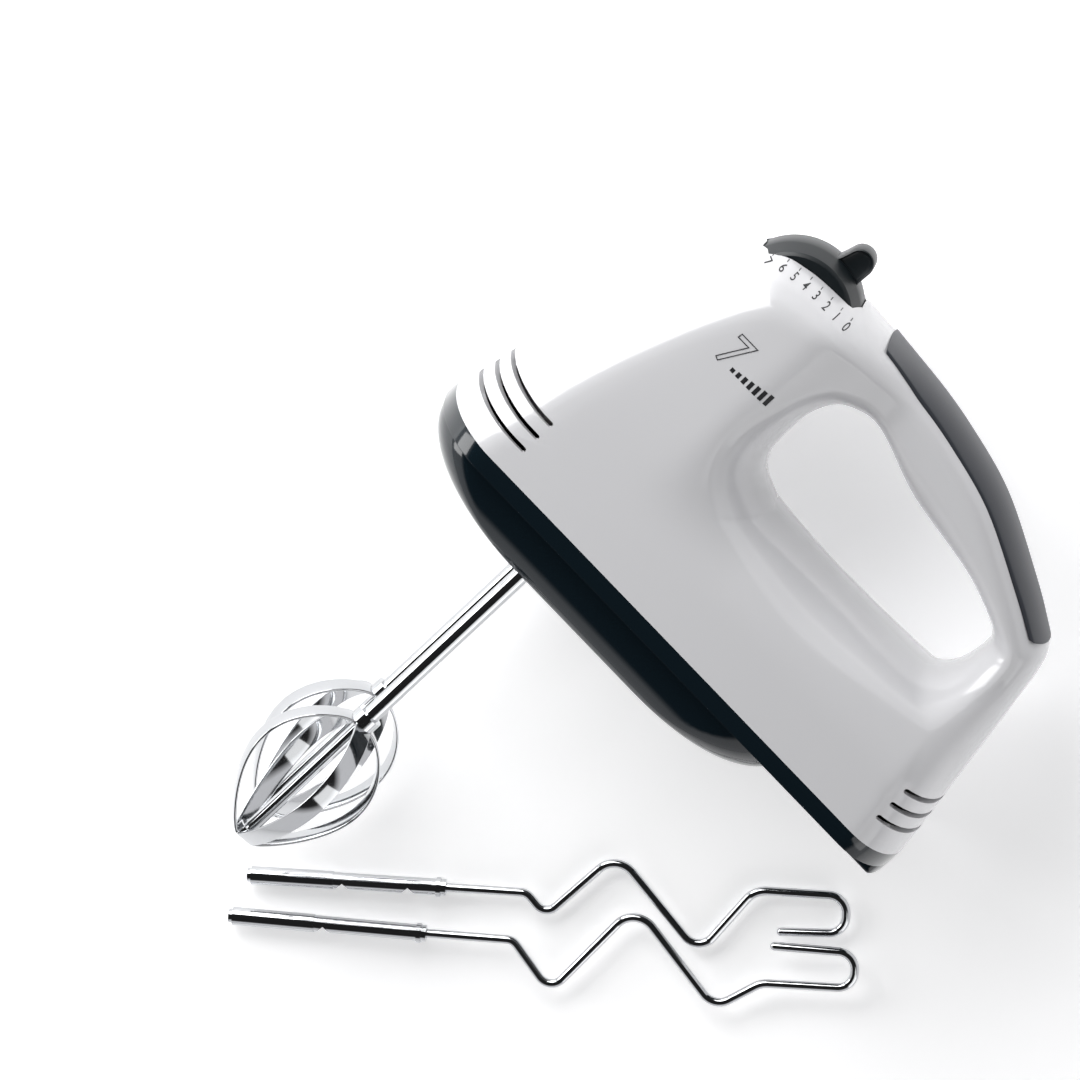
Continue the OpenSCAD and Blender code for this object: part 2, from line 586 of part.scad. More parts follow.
// ---- spindles, wheels and worm -------------------------------------------------------------------
socket_bottom = -base_depth + 0.6;
lug_len = socket_r * 2 - 1.2;
lug_w = 1.6;
lug_y0 = -19.6;
lug_y1 = -16.8;
module spindle(side) translate([0, 0, side * spindle_z]) difference() {
    rod_y(socket_r, socket_bottom, socket_top);
    rod_y(beater_r + run_gap, socket_bottom - 1, socket_top + 1);
    block(-socket_r, socket_r, socket_bottom - 1, lug_y1 + 0.3, -lug_w / 2 - 0.2, lug_w / 2 + 0.2);
    ring_y(socket_r + 1, socket_r - 0.6, cover_y1 + 0.3, cover_y1 + 1.3);
}
module spindle_left() color("#8f9498") lay() spindle(1);
module spindle_right() color("#8f9498") lay() spindle(-1);
module circlip(side) translate([0, 0, side * spindle_z]) difference() {
    ring_y(socket_r + 1.6, socket_r - 0.6, cover_y1 + 0.35, cover_y1 + 1.15);
    block(0, socket_r + 3, cover_y1, cover_y1 + 2, -1.5, 1.5);
}
module circlip_left() color("silver") lay() circlip(1);
module circlip_right() color("silver") lay() circlip(-1);

wheel_pitch_r = spindle_z * 0.733;
worm_pitch_r = spindle_z - wheel_pitch_r;
tooth_pitch = 2 * PI * wheel_pitch_r / wheel_teeth;
tooth_top = 0.28 * tooth_pitch;
tooth_depth = 0.34 * tooth_pitch;
// Share of the pitch that a wheel's tooth, and the worm's thread, fill at the pitch line
wheel_fill = 0.36;
worm_fill = 0.38;
flank = tan(20);
module wheel_teeth_plan(phase) {
    half = tooth_pitch * wheel_fill / 2;
    root = wheel_pitch_r - tooth_depth;
    tip = wheel_pitch_r + tooth_top;
    union() {
        circle(root + 0.01, $fn = 96);
        for (i = [0:wheel_teeth - 1]) rotate(phase + 360 * i / wheel_teeth) polygon([
            [root - 0.8, -half - tooth_depth * flank], [root, -half - tooth_depth * flank],
            [tip, -half + tooth_top * flank], [tip, half - tooth_top * flank],
            [root, half + tooth_depth * flank], [root - 0.8, half + tooth_depth * flank]]);
    }
}
// The wheel's plan has its first tooth towards the worm, turned by phase of a tooth
module wheel(side, phase) translate([0, motor_h - wheel_face / 2, side * spindle_z])
    rotate([-90, 0, 0]) linear_extrude(wheel_face) difference() {
        wheel_teeth_plan((side > 0 ? 90 : -90) + phase * 360 / wheel_teeth);
        circle(socket_r, $fn = 64);
    }
module gear_left() color("#efe9d8") lay() wheel(1, 0);
module gear_right() color("#efe9d8") lay() wheel(-1, 0.5);

worm_len = 20;
// Least room over the worm; a thicker worm runs in a channel in the gearbox's cover
worm_gap = 0.6;
worm_tip = worm_pitch_r + tooth_top;
worm_root = worm_pitch_r - tooth_depth;
// Radius of the worm's cross-section at share t of a turn; t = 0 is the middle of the gap
function worm_radius(t) =
    let(from_thread = abs(t - 0.5) * tooth_pitch,
        half = tooth_pitch * worm_fill / 2)
    min(worm_tip, max(worm_root, worm_pitch_r + (half - from_thread) / flank));
worm_n = 20;
worm_slices = 12;
// Turns the worm so that a gap faces the left wheel's first tooth
worm_phase = 180 - 180 * worm_len / tooth_pitch;
module worm() color("#9aa0a4") lay() translate([-worm_len / 2, motor_h, 0]) rotate([0, 90, 0])
    rotate(worm_phase) linear_extrude(worm_len, twist = -360 * worm_len / tooth_pitch,
        slices = round(worm_slices * worm_len / tooth_pitch), $fn = 12) difference() {
            polygon([for (k = [0:worm_n - 1]) worm_radius(k / worm_n)
                * [cos(360 * k / worm_n), sin(360 * k / worm_n)]]);
            circle(shaft_r);
        }

// ---- motor ------------------------------------------------------------------------------------
frame_x0 = box_half_x + 1;
frame_t = 3;
fan_x = frame_x0 + frame_t + 1.5;
fan_len = 7;
stack_x = fan_x + fan_len + 6;
stack_end = stack_x + stack_len;
comm_x = stack_end + 7;
comm_len = 10;
comm_r = 8.5;
rear_x = comm_x + comm_len + 4;
rear_t = 4;
air_gap = 0.45;
stator_half_y = armature_r + 7.4;
stator_half_z = armature_r + 10.6;
rail_t = 2;
rail_y = 6;
module at_motor() lay() translate([0, motor_h, 0]) children();
module motor_frame() color("#c9ccd0") at_motor() difference() {
    union() {
        block(frame_x0, frame_x0 + frame_t, -11, 11, -stator_half_z - rail_t, stator_half_z + rail_t);
        block(rear_x, rear_x + rear_t, -11, 11, -stator_half_z - rail_t, stator_half_z + rail_t);
        for (s = [-1, 1]) block(frame_x0, rear_x + rear_t, -rail_y, rail_y,
            s > 0 ? stator_half_z + 0.05 : -stator_half_z - rail_t,
            s > 0 ? stator_half_z + rail_t : -stator_half_z - 0.05);
    }
    rod_x(shaft_r + 1.5, frame_x0 - 1, frame_x0 + frame_t + 1);
    rod_x(shaft_bush_r, rear_x - 1, rear_x + rear_t + 1);
    for (s = [-1, 1]) translate([0, 0, s * 14]) rod_x(2, frame_x0 - 1, frame_x0 + frame_t + 1);
}
module stator_core() color("#6f7276") at_motor() difference() {
    block(stack_x, stack_end, -stator_half_y, stator_half_y, -stator_half_z, stator_half_z);
    rod_x(armature_r + air_gap, stack_x - 1, stack_end + 1);
    for (s = [-1, 1]) block(stack_x - 1, stack_end + 1, -8, 8,
        s > 0 ? armature_r - 2 : -armature_r - 5, s > 0 ? armature_r + 5 : -armature_r + 2);
}
coil_t = 4;
module field_coils() color("#b5651d") at_motor() for (s = [-1, 1]) for (e = [0, 1])
    translate([e ? stack_end + 0.3 : stack_x - 0.3 - coil_t, 0, 0])
        rotate([90, 0, 90]) linear_extrude(coil_t) intersection() {
            difference() {
                circle(armature_r + 6);
                circle(armature_r + 1.2);
            }
            translate([-8, s > 0 ? 0 : -40]) square([16, 40]);
        }
module shaft_bushes() color("#b58a4a") at_motor() {
    ring_x(shaft_bush_r, shaft_r + run_gap, nose_bush_x, nose_bush_x + bush_len);
    ring_x(shaft_bush_r, shaft_r + run_gap, rear_x, rear_x + rear_t);
}
module motor_screws() color("silver") at_motor()
    for (s = [-1, 1]) translate([stack_x + stack_len / 2, 0, s * (stator_half_z + rail_t)])
        cylinder(r = 2.6, h = 3.2, center = true);
module rotor_shaft() color("#a8adb2") at_motor() rod_x(shaft_r, nose_bush_x + 0.5, rear_x + rear_t + 2);
module cooling_fan() color("#e9e6dc") at_motor() difference() {
    union() {
        rod_x(6, fan_x, fan_x + fan_len);
        rod_x(fan_r, fan_x, fan_x + 1.2);
        for (i = [0:9]) rotate([36 * i, 0, 0]) block(fan_x, fan_x + fan_len, 5, fan_r - 0.5, -0.6, 0.6);
    }
    rod_x(shaft_r, fan_x - 1, fan_x + fan_len + 1);
}
slot_count = 12;
module armature_core() color("#7b7e82") at_motor() difference() {
    rod_x(armature_r, stack_x, stack_end);
    rod_x(shaft_r, stack_x - 1, stack_end + 1);
    for (i = [0:slot_count - 1]) rotate([360 * i / slot_count, 0, 0])
        block(stack_x - 1, stack_end + 1, armature_r - 4, armature_r + 1, -0.9, 0.9);
}
winding_t = 5;
module armature_windings() color("#b5651d") at_motor() {
    for (i = [0:slot_count - 1]) rotate([360 * i / slot_count, 0, 0])
        block(stack_x - winding_t + 1, stack_end + winding_t - 1,
            armature_r - 3.9, armature_r - 0.8, -0.85, 0.85);
    for (e = [0, 1]) {
        x0 = e ? stack_end + 0.2 : stack_x - winding_t;
        ring_x(armature_r - 1, shaft_r + 1, x0, x0 + winding_t - 0.2);
    }
}
module commutator() color("#b87333") at_motor() difference() {
    union() {
        rod_x(comm_r, comm_x, comm_x + comm_len);
        rod_x(comm_r + 1, comm_x - 1.5, comm_x);
    }
    rod_x(shaft_r, comm_x - 3, comm_x + comm_len + 1);
    for (i = [0:slot_count - 1]) rotate([360 * i / slot_count + 15, 0, 0])
        block(comm_x - 3, comm_x + comm_len + 1, comm_r - 0.6, comm_r + 2, -0.2, 0.2);
}
brush_x = comm_x + comm_len / 2;
brush_half = 2.5;
brush_end = comm_r + 11;
module brush_holders() color("#8a6d2f") at_motor() for (s = [-1, 1]) difference() {
    block(brush_x - brush_half - 1, brush_x + brush_half + 1, -brush_half - 1, brush_half + 1,
        s > 0 ? comm_r + 2 : -stator_half_z, s > 0 ? stator_half_z : -comm_r - 2);
    block(brush_x - brush_half, brush_x + brush_half, -brush_half, brush_half,
        s > 0 ? comm_r + 1 : -stator_half_z + 1, s > 0 ? stator_half_z - 1 : -comm_r - 1);
}
module carbon_brushes() color("#2b2b2b") at_motor() for (s = [-1, 1]) difference() {
    block(brush_x - brush_half, brush_x + brush_half, -brush_half, brush_half,
        s > 0 ? comm_r - 1 : -brush_end + 3, s > 0 ? brush_end - 3 : -comm_r + 1);
    rod_x(comm_r + run_gap, comm_x - 5, comm_x + comm_len + 5);
}
module brush_springs() color("silver") at_motor() for (s = [-1, 1])
    translate([brush_x, 0, 0]) rotate([s * 90, 0, 0])
        loft(helix_rings(1.7, 0.35, brush_end - 2.6, stator_half_z - 1.4, 4, 10, 5));

// ---- beaters ------------------------------------------------------------------------------------
head_top = -collar_drop;
head_end = -collar_drop - head_len;
core_r = 2.1;
strap_n = 18;
// Turn of the left head; the right one is set so that the straps mesh
beater_turn = 20;
// Reach of a strap's middle from the axis, at share t of the way from the collar to the tip
function strap_reach(t) = core_r + 1 + (head_r - core_r - 1.4) * pow(sin(180 * pow(t, 0.82)), 0.8);
function strap_mid(t) = [strap_reach(t), head_top - head_len * t];
function strap_side(t, d) =
    let(a = strap_mid(max(t - 0.01, 0)), b = strap_mid(min(t + 0.01, 1)), v = (b - a) / norm(b - a))
    strap_mid(t) + d * [-v[1], v[0]];
strap_ts = [for (k = [0:strap_n]) (1 - cos(180 * k / strap_n)) / 2];
module strap_plan() polygon(concat(
    [for (t = strap_ts) strap_side(t, strap_t / 2)],
    [for (k = [strap_n:-1:0]) strap_side(strap_ts[k], -strap_t / 2)]));
module beater_straps(turn) rotate([0, turn, 0]) union() {
    for (a = [0, 90, 180, 270]) rotate([0, a, 0])
        translate([0, 0, -strap_w / 2]) linear_extrude(strap_w) strap_plan();
    rod_y(core_r + 1.4, head_end, head_end + 3);
}
collar_wall = 1.4;
module beater_shaft() union() {
    rod_y(beater_r, head_top - 1, beater_top);
    rod_y(core_r, head_end + 1, head_top);
    block(-lug_len / 2, lug_len / 2, lug_y0, lug_y1, -lug_w / 2, lug_w / 2);
}
module beater_collar() ring_y(beater_r + collar_wall, beater_r, head_top + 0.2, head_top + 4);
module beater_head(turn) difference() {
    beater_straps(turn);
    rod_y(core_r, head_end - 1, head_top + 3);
    rod_y(beater_r, head_top - 1, head_top + 3);
    rod_y(beater_r + collar_wall + 0.05, head_top + 0.15, head_top + 5);
}
module on_spindle(side) lay() translate([0, 0, side * spindle_z]) children();
module beater_left_shaft() color("#c8ccd0") on_spindle(1) beater_shaft();
module beater_left_head() color("#c8ccd0") on_spindle(1) beater_head(beater_turn);
module beater_left_collar() color("#c8ccd0") on_spindle(1) beater_collar();
module beater_right_shaft() color("#c8ccd0") on_spindle(-1) beater_shaft();
module beater_right_head() color("#c8ccd0") on_spindle(-1) beater_head(45 - beater_turn);
module beater_right_collar() color("#c8ccd0") on_spindle(-1) beater_collar();

// ---- dough hooks -----------------------------------------------------------------------------------
// Bends of each wire, along and across the shank, with the radius of the bend
hook_left_bends = [[shank_len - 4, 0, 0], [85.5, 0, 4], [91.5, -6.8, 4], [112.8, 14, 7],
    [138.5, -15.5, 5.5], [155, 5.3, 8], [183, 5.3, 5.4], [183, -6.4, 5.4], [162, -7.2, 0]];
hook_right_bends = [[shank_len - 4, 0, 0], [87.5, 0.4, 4], [99.6, -14.6, 4.5], [124.5, 14.6, 7],
    [150, -15, 6], [164, -6, 8], [192.2, -5, 5.2], [192.2, 6.1, 5.2], [166, 5.9, 0]];
// Where the shanks begin, from the spindle plane and the base joint, and how they lie
hook_left_at = [13.4, -165];
hook_left_turn = 43.9;
hook_right_at = [18.6, -178.2];
hook_right_turn = 42.7;
// The right hook lies on the left one's wire where they cross
hook_right_lift = 1.35;
function unit(v) = v / norm(v);
function bend_cut(a, b, c, r) =
    let(t = acos(min(max(unit(b - a) * unit(c - b), -1), 1))) r * tan(t / 2);
// Middle line of a wire, with each bend as an arc
function bend_arc(a, b, c, r) =
    let(d0 = unit(b - a), d1 = unit(c - b), side = cross2(d0, d1) > 0 ? 1 : -1,
        from = b - d0 * bend_cut(a, b, c, r), mid = from + side * r * [-d0[1], d0[0]],
        turn = acos(min(max(d0 * d1, -1), 1)), n = ceil(turn / 15), arm = from - mid)
    [for (k = [0:n]) let(q = side * turn * k / n)
        mid + [arm[0] * cos(q) - arm[1] * sin(q), arm[0] * sin(q) + arm[1] * cos(q)]];
function wire_line(bends) = let(n = len(bends), p = [for (b = bends) [b[0], b[1]]])
    concat([p[0]], [for (i = [1:n - 2]) each bend_arc(p[i - 1], p[i], p[i + 1], bends[i][2])],
        [p[n - 1]]);
wire_sides = 10;
module wire(bends) {
    p = wire_line(bends);
    n = len(p);
    loft([for (i = [0:n - 1])
        let(d = unit(p[min(i + 1, n - 1)] - p[max(i - 1, 0)]))
        [for (k = [0:wire_sides - 1]) let(a = 360 * k / wire_sides)
            [p[i][0] - wire_r * cos(a) * d[1], p[i][1] + wire_r * cos(a) * d[0],
                wire_r * sin(a)]]]);
}
// Where a shank's notches are, as shares of its length, and how far each stops short of the axis
left_notches = [0.48, 0.81];
right_notches = [0.48];
notch_root = 0.3;
// The end that plugs in is full size up to the first notch; the rest is slightly thinner
shank_relief = 0.25;
plug_end = shank_len * right_notches[0] - shank_r;
module shank(notches) difference() {
    union() {
        rod_x(shank_r, 1.2, plug_end);
        rod_x(shank_r - shank_relief, plug_end, shank_len);
        rod_x(shank_r - 0.7, 0, 2);
        rod_x(shank_r + 0.25, shank_len - 3, shank_len - 1.6);
    }
    rod_x(wire_r, shank_len - 4, shank_len + 1);
    for (share = notches) translate([share * shank_len, -notch_root, 0]) rotate([0, 0, 225])
        block(0, 9, 0, 9, -5, 5);
}
module place_hook(at, turn, lift) translate([at[0], at[1] - motor_h, shank_r + 0.25])
    rotate([0, 0, turn]) rotate([0, -lift, 0]) children();
module dough_hook_left_shank() color("#c8ccd0") place_hook(hook_left_at, hook_left_turn, 0)
    shank(left_notches);
module dough_hook_left_wire() color("#c8ccd0")
    place_hook(hook_left_at, hook_left_turn, 0) wire(hook_left_bends);
module dough_hook_right_shank() color("#c8ccd0")
    place_hook(hook_right_at, hook_right_turn, hook_right_lift) shank(right_notches);
module dough_hook_right_wire() color("#c8ccd0")
    place_hook(hook_right_at, hook_right_turn, hook_right_lift) wire(hook_right_bends);

housing_left();
housing_right();
base_cover();
handle_grip();
cord_gland();
housing_screws();
base_screws();
speed_selector();
selector_pin();
detent_spring();
ejector_carriage();
ejector_fork();
ejector_spring();
switch_block();
switch_contacts();
circuit_board();
suppressor();
terminal_block();
gearbox_base();
gearbox_cover();
gearbox_screws();
spindle_bushes();
spindle_left();
spindle_right();
gear_left();
gear_right();
circlip_left();
circlip_right();
motor_frame();
stator_core();
field_coils();
shaft_bushes();
motor_screws();
rotor_shaft();
worm();
cooling_fan();
armature_core();
armature_windings();
commutator();
brush_holders();
carbon_brushes();
brush_springs();
beater_left_shaft();
beater_left_head();
beater_left_collar();
beater_right_shaft();
beater_right_head();
beater_right_collar();
dough_hook_left_shank();
dough_hook_left_wire();
dough_hook_right_shank();
dough_hook_right_wire();
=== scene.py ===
# %% [markdown]
# # A hand mixer, from its frame to its looks
# A CAD model fixes where every part of the mixer is. This script loads it as a frame, and builds the
# surfaces that are seen around it: smooth shells, a glossy base, a grip inlay and chrome tools.
# Lengths are in millimetres until the last step of each mesh, as on the drawings of such a mixer.

# %% Loading the frame
import math
import bmesh
import bpy
import numpy as np
from mathutils import Matrix, Vector


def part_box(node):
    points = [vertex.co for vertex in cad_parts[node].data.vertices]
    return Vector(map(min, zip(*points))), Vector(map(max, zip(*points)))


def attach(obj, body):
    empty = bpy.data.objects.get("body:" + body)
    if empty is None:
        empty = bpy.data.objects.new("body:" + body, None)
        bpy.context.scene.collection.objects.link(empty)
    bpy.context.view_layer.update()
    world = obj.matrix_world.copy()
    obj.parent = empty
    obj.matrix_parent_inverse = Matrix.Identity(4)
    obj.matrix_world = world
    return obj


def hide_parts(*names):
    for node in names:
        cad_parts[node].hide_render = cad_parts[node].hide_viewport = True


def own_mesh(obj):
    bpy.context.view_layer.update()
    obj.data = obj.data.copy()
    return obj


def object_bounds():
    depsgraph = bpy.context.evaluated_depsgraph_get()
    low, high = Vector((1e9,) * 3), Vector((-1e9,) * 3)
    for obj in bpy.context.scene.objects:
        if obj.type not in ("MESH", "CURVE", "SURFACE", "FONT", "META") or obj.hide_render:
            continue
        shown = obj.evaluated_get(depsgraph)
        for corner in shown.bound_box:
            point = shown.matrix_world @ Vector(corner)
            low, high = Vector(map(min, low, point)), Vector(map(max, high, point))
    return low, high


bpy.ops.wm.read_factory_settings(use_empty=True)
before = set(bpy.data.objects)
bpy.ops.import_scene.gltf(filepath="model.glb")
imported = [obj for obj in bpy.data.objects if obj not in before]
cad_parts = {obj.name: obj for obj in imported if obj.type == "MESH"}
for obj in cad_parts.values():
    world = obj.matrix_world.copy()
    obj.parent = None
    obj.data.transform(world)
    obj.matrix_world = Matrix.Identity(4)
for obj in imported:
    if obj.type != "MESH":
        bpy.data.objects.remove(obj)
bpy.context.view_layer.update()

# %% [markdown]
# ## The mixer's own axes
# A mixer is drawn from two planes and an axis: the joint between its housing and its base, the plane in
# which its halves meet, and the plane of its two spindles. Each is read from the frame, so the looks follow
# the part if its sizes change. The sizes below are those of the body that the frame holds.

# %% The mixer's own axes
MM = 0.001
half_lo, half_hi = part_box("housing_left")
base_lo, base_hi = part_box("base_cover")
spindle_lo, spindle_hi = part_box("spindle_left")
origin = np.array([(spindle_lo.x + spindle_hi.x) / 2, half_lo.y, half_lo.z])
nose = (origin[0] - half_lo.x) / MM
heel = (half_hi.x - origin[0]) / MM
crest = (half_hi.y - half_lo.y) / MM
half_w = (half_hi.z - half_lo.z) / MM
base_depth = (origin[1] - base_lo.y) / MM
spindle_z = ((spindle_lo.z + spindle_hi.z) / 2 - origin[2]) / MM
wall = 2.2
print(f"nose {nose:.1f}, heel {heel:.1f}, crest {crest:.1f}, half width {half_w:.1f} mm")


def place(points):
    """Points in the mixer's own millimetres, as places in the frame."""
    return np.asarray(points, float) * MM + origin


# %% [markdown]
# ## Small tools for meshes
# Nearly every moulded part is a skin between rings of points, so one function makes a closed mesh from
# rings, and one makes a prism for a cut. Normals are made to agree afterwards, which forgives any ring order.

# %% Small tools for meshes
def mesh_object(name, points, faces):
    mesh = bpy.data.meshes.new(name)
    mesh.from_pydata([tuple(p) for p in place(points)], [], [tuple(f) for f in faces])
    solid = bmesh.new()
    solid.from_mesh(mesh)
    bmesh.ops.remove_doubles(solid, verts=solid.verts, dist=1e-7)
    bmesh.ops.recalc_face_normals(solid, faces=solid.faces)
    solid.to_mesh(mesh)
    solid.free()
    made = bpy.data.objects.new(name, mesh)
    bpy.context.scene.collection.objects.link(made)
    return made


# %% Rings and lofts
def ring_faces(rings, around, closed):
    """Quads between rings of the same number of points, with flat ends unless the rings close."""
    faces = []
    for i in range(rings if closed else rings - 1):
        for k in range(around):
            a, b = i * around, (i + 1) % rings * around
            faces.append((a + k, b + k, b + (k + 1) % around, a + (k + 1) % around))
    if not closed:
        faces.append(list(range(around)))
        faces.append([(rings - 1) * around + k for k in range(around)])
    return faces


def loft(name, rings, closed=False):
    rings = np.asarray(rings, float)
    faces = ring_faces(len(rings), rings.shape[1], closed)
    return mesh_object(name, rings.reshape(-1, 3), faces)


def joined(name, parts):
    """Several meshes as one object; the parts may touch or overlap."""
    mesh = bpy.data.meshes.new(name)
    whole = bmesh.new()
    for part in parts:
        whole.from_mesh(part.data)
        bpy.data.objects.remove(part)
    whole.to_mesh(mesh)
    whole.free()
    made = bpy.data.objects.new(name, mesh)
    bpy.context.scene.collection.objects.link(made)
    return made


# %% Prisms, turned parts and circles
def prism(outline, axis, low, high):
    """A straight bar with an outline; axis is the direction it runs in."""
    rings = []
    for level in (low, high):
        ring = []
        for p in outline:
            point = list(p)
            point.insert(axis, level)
            ring.append(point)
        rings.append(ring)
    return loft("prism", rings)


def lathe(profile, at, axis, around=48):
    """A profile of radius and height turned about an axis through a place; it closes on itself."""
    across = [i for i in range(3) if i != axis]
    rings = []
    for k in range(around):
        angle = 2 * math.pi * k / around
        ring = []
        for radius, height in profile:
            point = [0, 0, 0]
            point[axis] = at[axis] + height
            point[across[0]] = at[across[0]] + radius * math.cos(angle)
            point[across[1]] = at[across[1]] + radius * math.sin(angle)
            ring.append(point)
        rings.append(ring)
    return loft("lathe", rings, closed=True)


def circle(x, y, radius, around=48):
    steps = [2 * math.pi * k / around for k in range(around)]
    return [(x + radius * math.cos(a), y + radius * math.sin(a)) for a in steps]


# %% Cuts and rounded edges
def keep_modifiers(made):
    """Makes the mesh what its modifiers show."""
    depsgraph = bpy.context.evaluated_depsgraph_get()
    shown = bpy.data.meshes.new_from_object(made.evaluated_get(depsgraph))
    made.modifiers.clear()
    made.data = shown


def cut(made, cutters):
    """Takes the cutters, which don't touch each other, out of a mesh in one step."""
    cutter = joined("cutter", cutters)
    step = made.modifiers.new("cut", "BOOLEAN")
    step.operation = "DIFFERENCE"
    step.solver = "EXACT"
    step.object = cutter
    keep_modifiers(made)
    bpy.data.objects.remove(cutter)


def soften(made, width, angle=35, segments=3):
    """Rounds the edges that are sharper than an angle."""
    step = made.modifiers.new("soften", "BEVEL")
    step.width = width * MM
    step.segments = segments
    step.limit_method = "ANGLE"
    step.angle_limit = math.radians(angle)
    keep_modifiers(made)


def smooth(made, angle=35):
    made.data.polygons.foreach_set("use_smooth", [True] * len(made.data.polygons))
    made.data.set_sharp_from_angle(angle=math.radians(angle))


def finish_piece(made, name, body, material, stands_for=(), angle=35):
    """Names a piece, gives it its material, and hangs it on its body."""
    made.name = name
    made.data.name = name
    made.data.materials.clear()
    made.data.materials.append(material)
    smooth(made, angle)
    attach(made, body)
    if stands_for:
        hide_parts(*stands_for)
    print(f"{name}: {len(made.data.polygons)} faces on {body}")
    return made


# %% [markdown]
# ## Shader groups
# Two finishes come back again and again on a mixer: moulded plastic, which is never quite one colour and
# carries a fine grain from its steel mould, and turned or drawn metal, which has fine lines along it.
# Each is a node group, so that every material that uses it is tuned by its inputs alone.

# %% Shader groups
def add(tree, kind, **values):
    node = tree.nodes.new("ShaderNode" + kind)
    for key, value in values.items():
        words = key.replace("_", " ")
        if words in node.inputs:
            node.inputs[words].default_value = value
        else:
            setattr(node, key, value)
    return node


def new_group(name, inputs, outputs):
    group = bpy.data.node_groups.new(name, "ShaderNodeTree")
    for title, kind, default in inputs:
        socket = group.interface.new_socket(name=title, in_out="INPUT", socket_type="NodeSocket" + kind)
        socket.default_value = default
    for title, kind in outputs:
        group.interface.new_socket(name=title, in_out="OUTPUT", socket_type="NodeSocket" + kind)
    return group, group.nodes.new("NodeGroupInput"), group.nodes.new("NodeGroupOutput")


def mixed(tree, kind, factor, a, b):
    """A mix node between two sockets or values, for colours (RGBA) or numbers (FLOAT)."""
    node = tree.nodes.new("ShaderNodeMix")
    node.data_type = kind
    first = {"FLOAT": 2, "RGBA": 6}[kind]
    for slot, source in ((0, factor), (first, a), (first + 1, b)):
        if isinstance(source, bpy.types.NodeSocket):
            tree.links.new(source, node.inputs[slot])
        else:
            node.inputs[slot].default_value = source
    return node.outputs[{"FLOAT": 0, "RGBA": 2}[kind]]


def math_node(tree, operation, a, b):
    node = tree.nodes.new("ShaderNodeMath")
    node.operation = operation
    for slot, source in enumerate((a, b)):
        if isinstance(source, bpy.types.NodeSocket):
            tree.links.new(source, node.inputs[slot])
        else:
            node.inputs[slot].default_value = source
    return node.outputs[0]


# %% A group for moulded plastic
def plastic_group():
    group, given, result = new_group(
        "Moulded plastic",
        [("Colour", "Color", (0.8, 0.8, 0.8, 1)), ("Shade", "Color", (0.7, 0.7, 0.7, 1)),
         ("Cloud scale", "Float", 30.0), ("Grain scale", "Float", 2500.0),
         ("Roughness", "Float", 0.3), ("Swing", "Float", 0.05)],
        [("Colour", "Color"), ("Roughness", "Float"), ("Height", "Float")])
    where = add(group, "TexCoord")
    cloud = add(group, "TexNoise", Detail=3.0, Roughness=0.55)
    grain = add(group, "TexNoise", Detail=2.0, Roughness=0.6)
    group.links.new(where.outputs["Object"], cloud.inputs["Vector"])
    group.links.new(where.outputs["Object"], grain.inputs["Vector"])
    group.links.new(given.outputs["Cloud scale"], cloud.inputs["Scale"])
    group.links.new(given.outputs["Grain scale"], grain.inputs["Scale"])
    tint = mixed(group, "RGBA", cloud.outputs[0], given.outputs["Colour"], given.outputs["Shade"])
    centred = math_node(group, "SUBTRACT", cloud.outputs[0], 0.5)
    swing = math_node(group, "MULTIPLY", centred, given.outputs["Swing"])
    rough = math_node(group, "ADD", given.outputs["Roughness"], swing)
    group.links.new(tint, result.inputs["Colour"])
    group.links.new(rough, result.inputs["Roughness"])
    group.links.new(grain.outputs[0], result.inputs["Height"])
    return group


# %% A group for drawn metal
def metal_group():
    group, given, result = new_group(
        "Drawn metal",
        [("Colour", "Color", (0.7, 0.7, 0.7, 1)), ("Shade", "Color", (0.5, 0.5, 0.5, 1)),
         ("Line scale", "Float", 900.0), ("Stretch", "Vector", (1.0, 0.05, 1.0)),
         ("Roughness", "Float", 0.2), ("Swing", "Float", 0.1)],
        [("Colour", "Color"), ("Roughness", "Float"), ("Height", "Float")])
    where = add(group, "TexCoord")
    along = group.nodes.new("ShaderNodeVectorMath")
    along.operation = "MULTIPLY"
    lines = add(group, "TexNoise", Detail=4.0, Roughness=0.65)
    group.links.new(where.outputs["Object"], along.inputs[0])
    group.links.new(given.outputs["Stretch"], along.inputs[1])
    group.links.new(along.outputs[0], lines.inputs["Vector"])
    group.links.new(given.outputs["Line scale"], lines.inputs["Scale"])
    tint = mixed(group, "RGBA", lines.outputs[0], given.outputs["Colour"], given.outputs["Shade"])
    swing = math_node(group, "MULTIPLY", lines.outputs[0], given.outputs["Swing"])
    rough = math_node(group, "ADD", given.outputs["Roughness"], swing)
    group.links.new(tint, result.inputs["Colour"])
    group.links.new(rough, result.inputs["Roughness"])
    group.links.new(lines.outputs[0], result.inputs["Height"])
    return group


moulded = plastic_group()
drawn = metal_group()
print("shader groups:", moulded.name, "and", drawn.name)

# %% [markdown]
# ## Materials
# A mixer's body is ABS, moulded against a polished mould, so its gloss is a clear top layer over a
# nearly flat colour. Its grip is the same plastic with a fine spark-eroded grain. Steel tools are
# chromium plated: a mirror with the faintest lines from polishing.

# %% Materials
def new_material(name):
    material = bpy.data.materials.new(name)
    material.use_nodes = True
    tree = material.node_tree
    return material, tree, tree.nodes["Principled BSDF"]


def use_group(tree, shader, group, bump, values):
    """Puts a group into a material: colour, roughness and a bump of some strength."""
    node = tree.nodes.new("ShaderNodeGroup")
    node.node_tree = group
    for key, value in values.items():
        node.inputs[key].default_value = value
    tree.links.new(node.outputs["Colour"], shader.inputs["Base Color"])
    tree.links.new(node.outputs["Roughness"], shader.inputs["Roughness"])
    relief = add(tree, "Bump", Strength=bump, Distance=0.00004)
    tree.links.new(node.outputs["Height"], relief.inputs["Height"])
    tree.links.new(relief.outputs[0], shader.inputs["Normal"])
    return node


def shade_of(colour, amount):
    return tuple(c * amount for c in colour) + (1,)


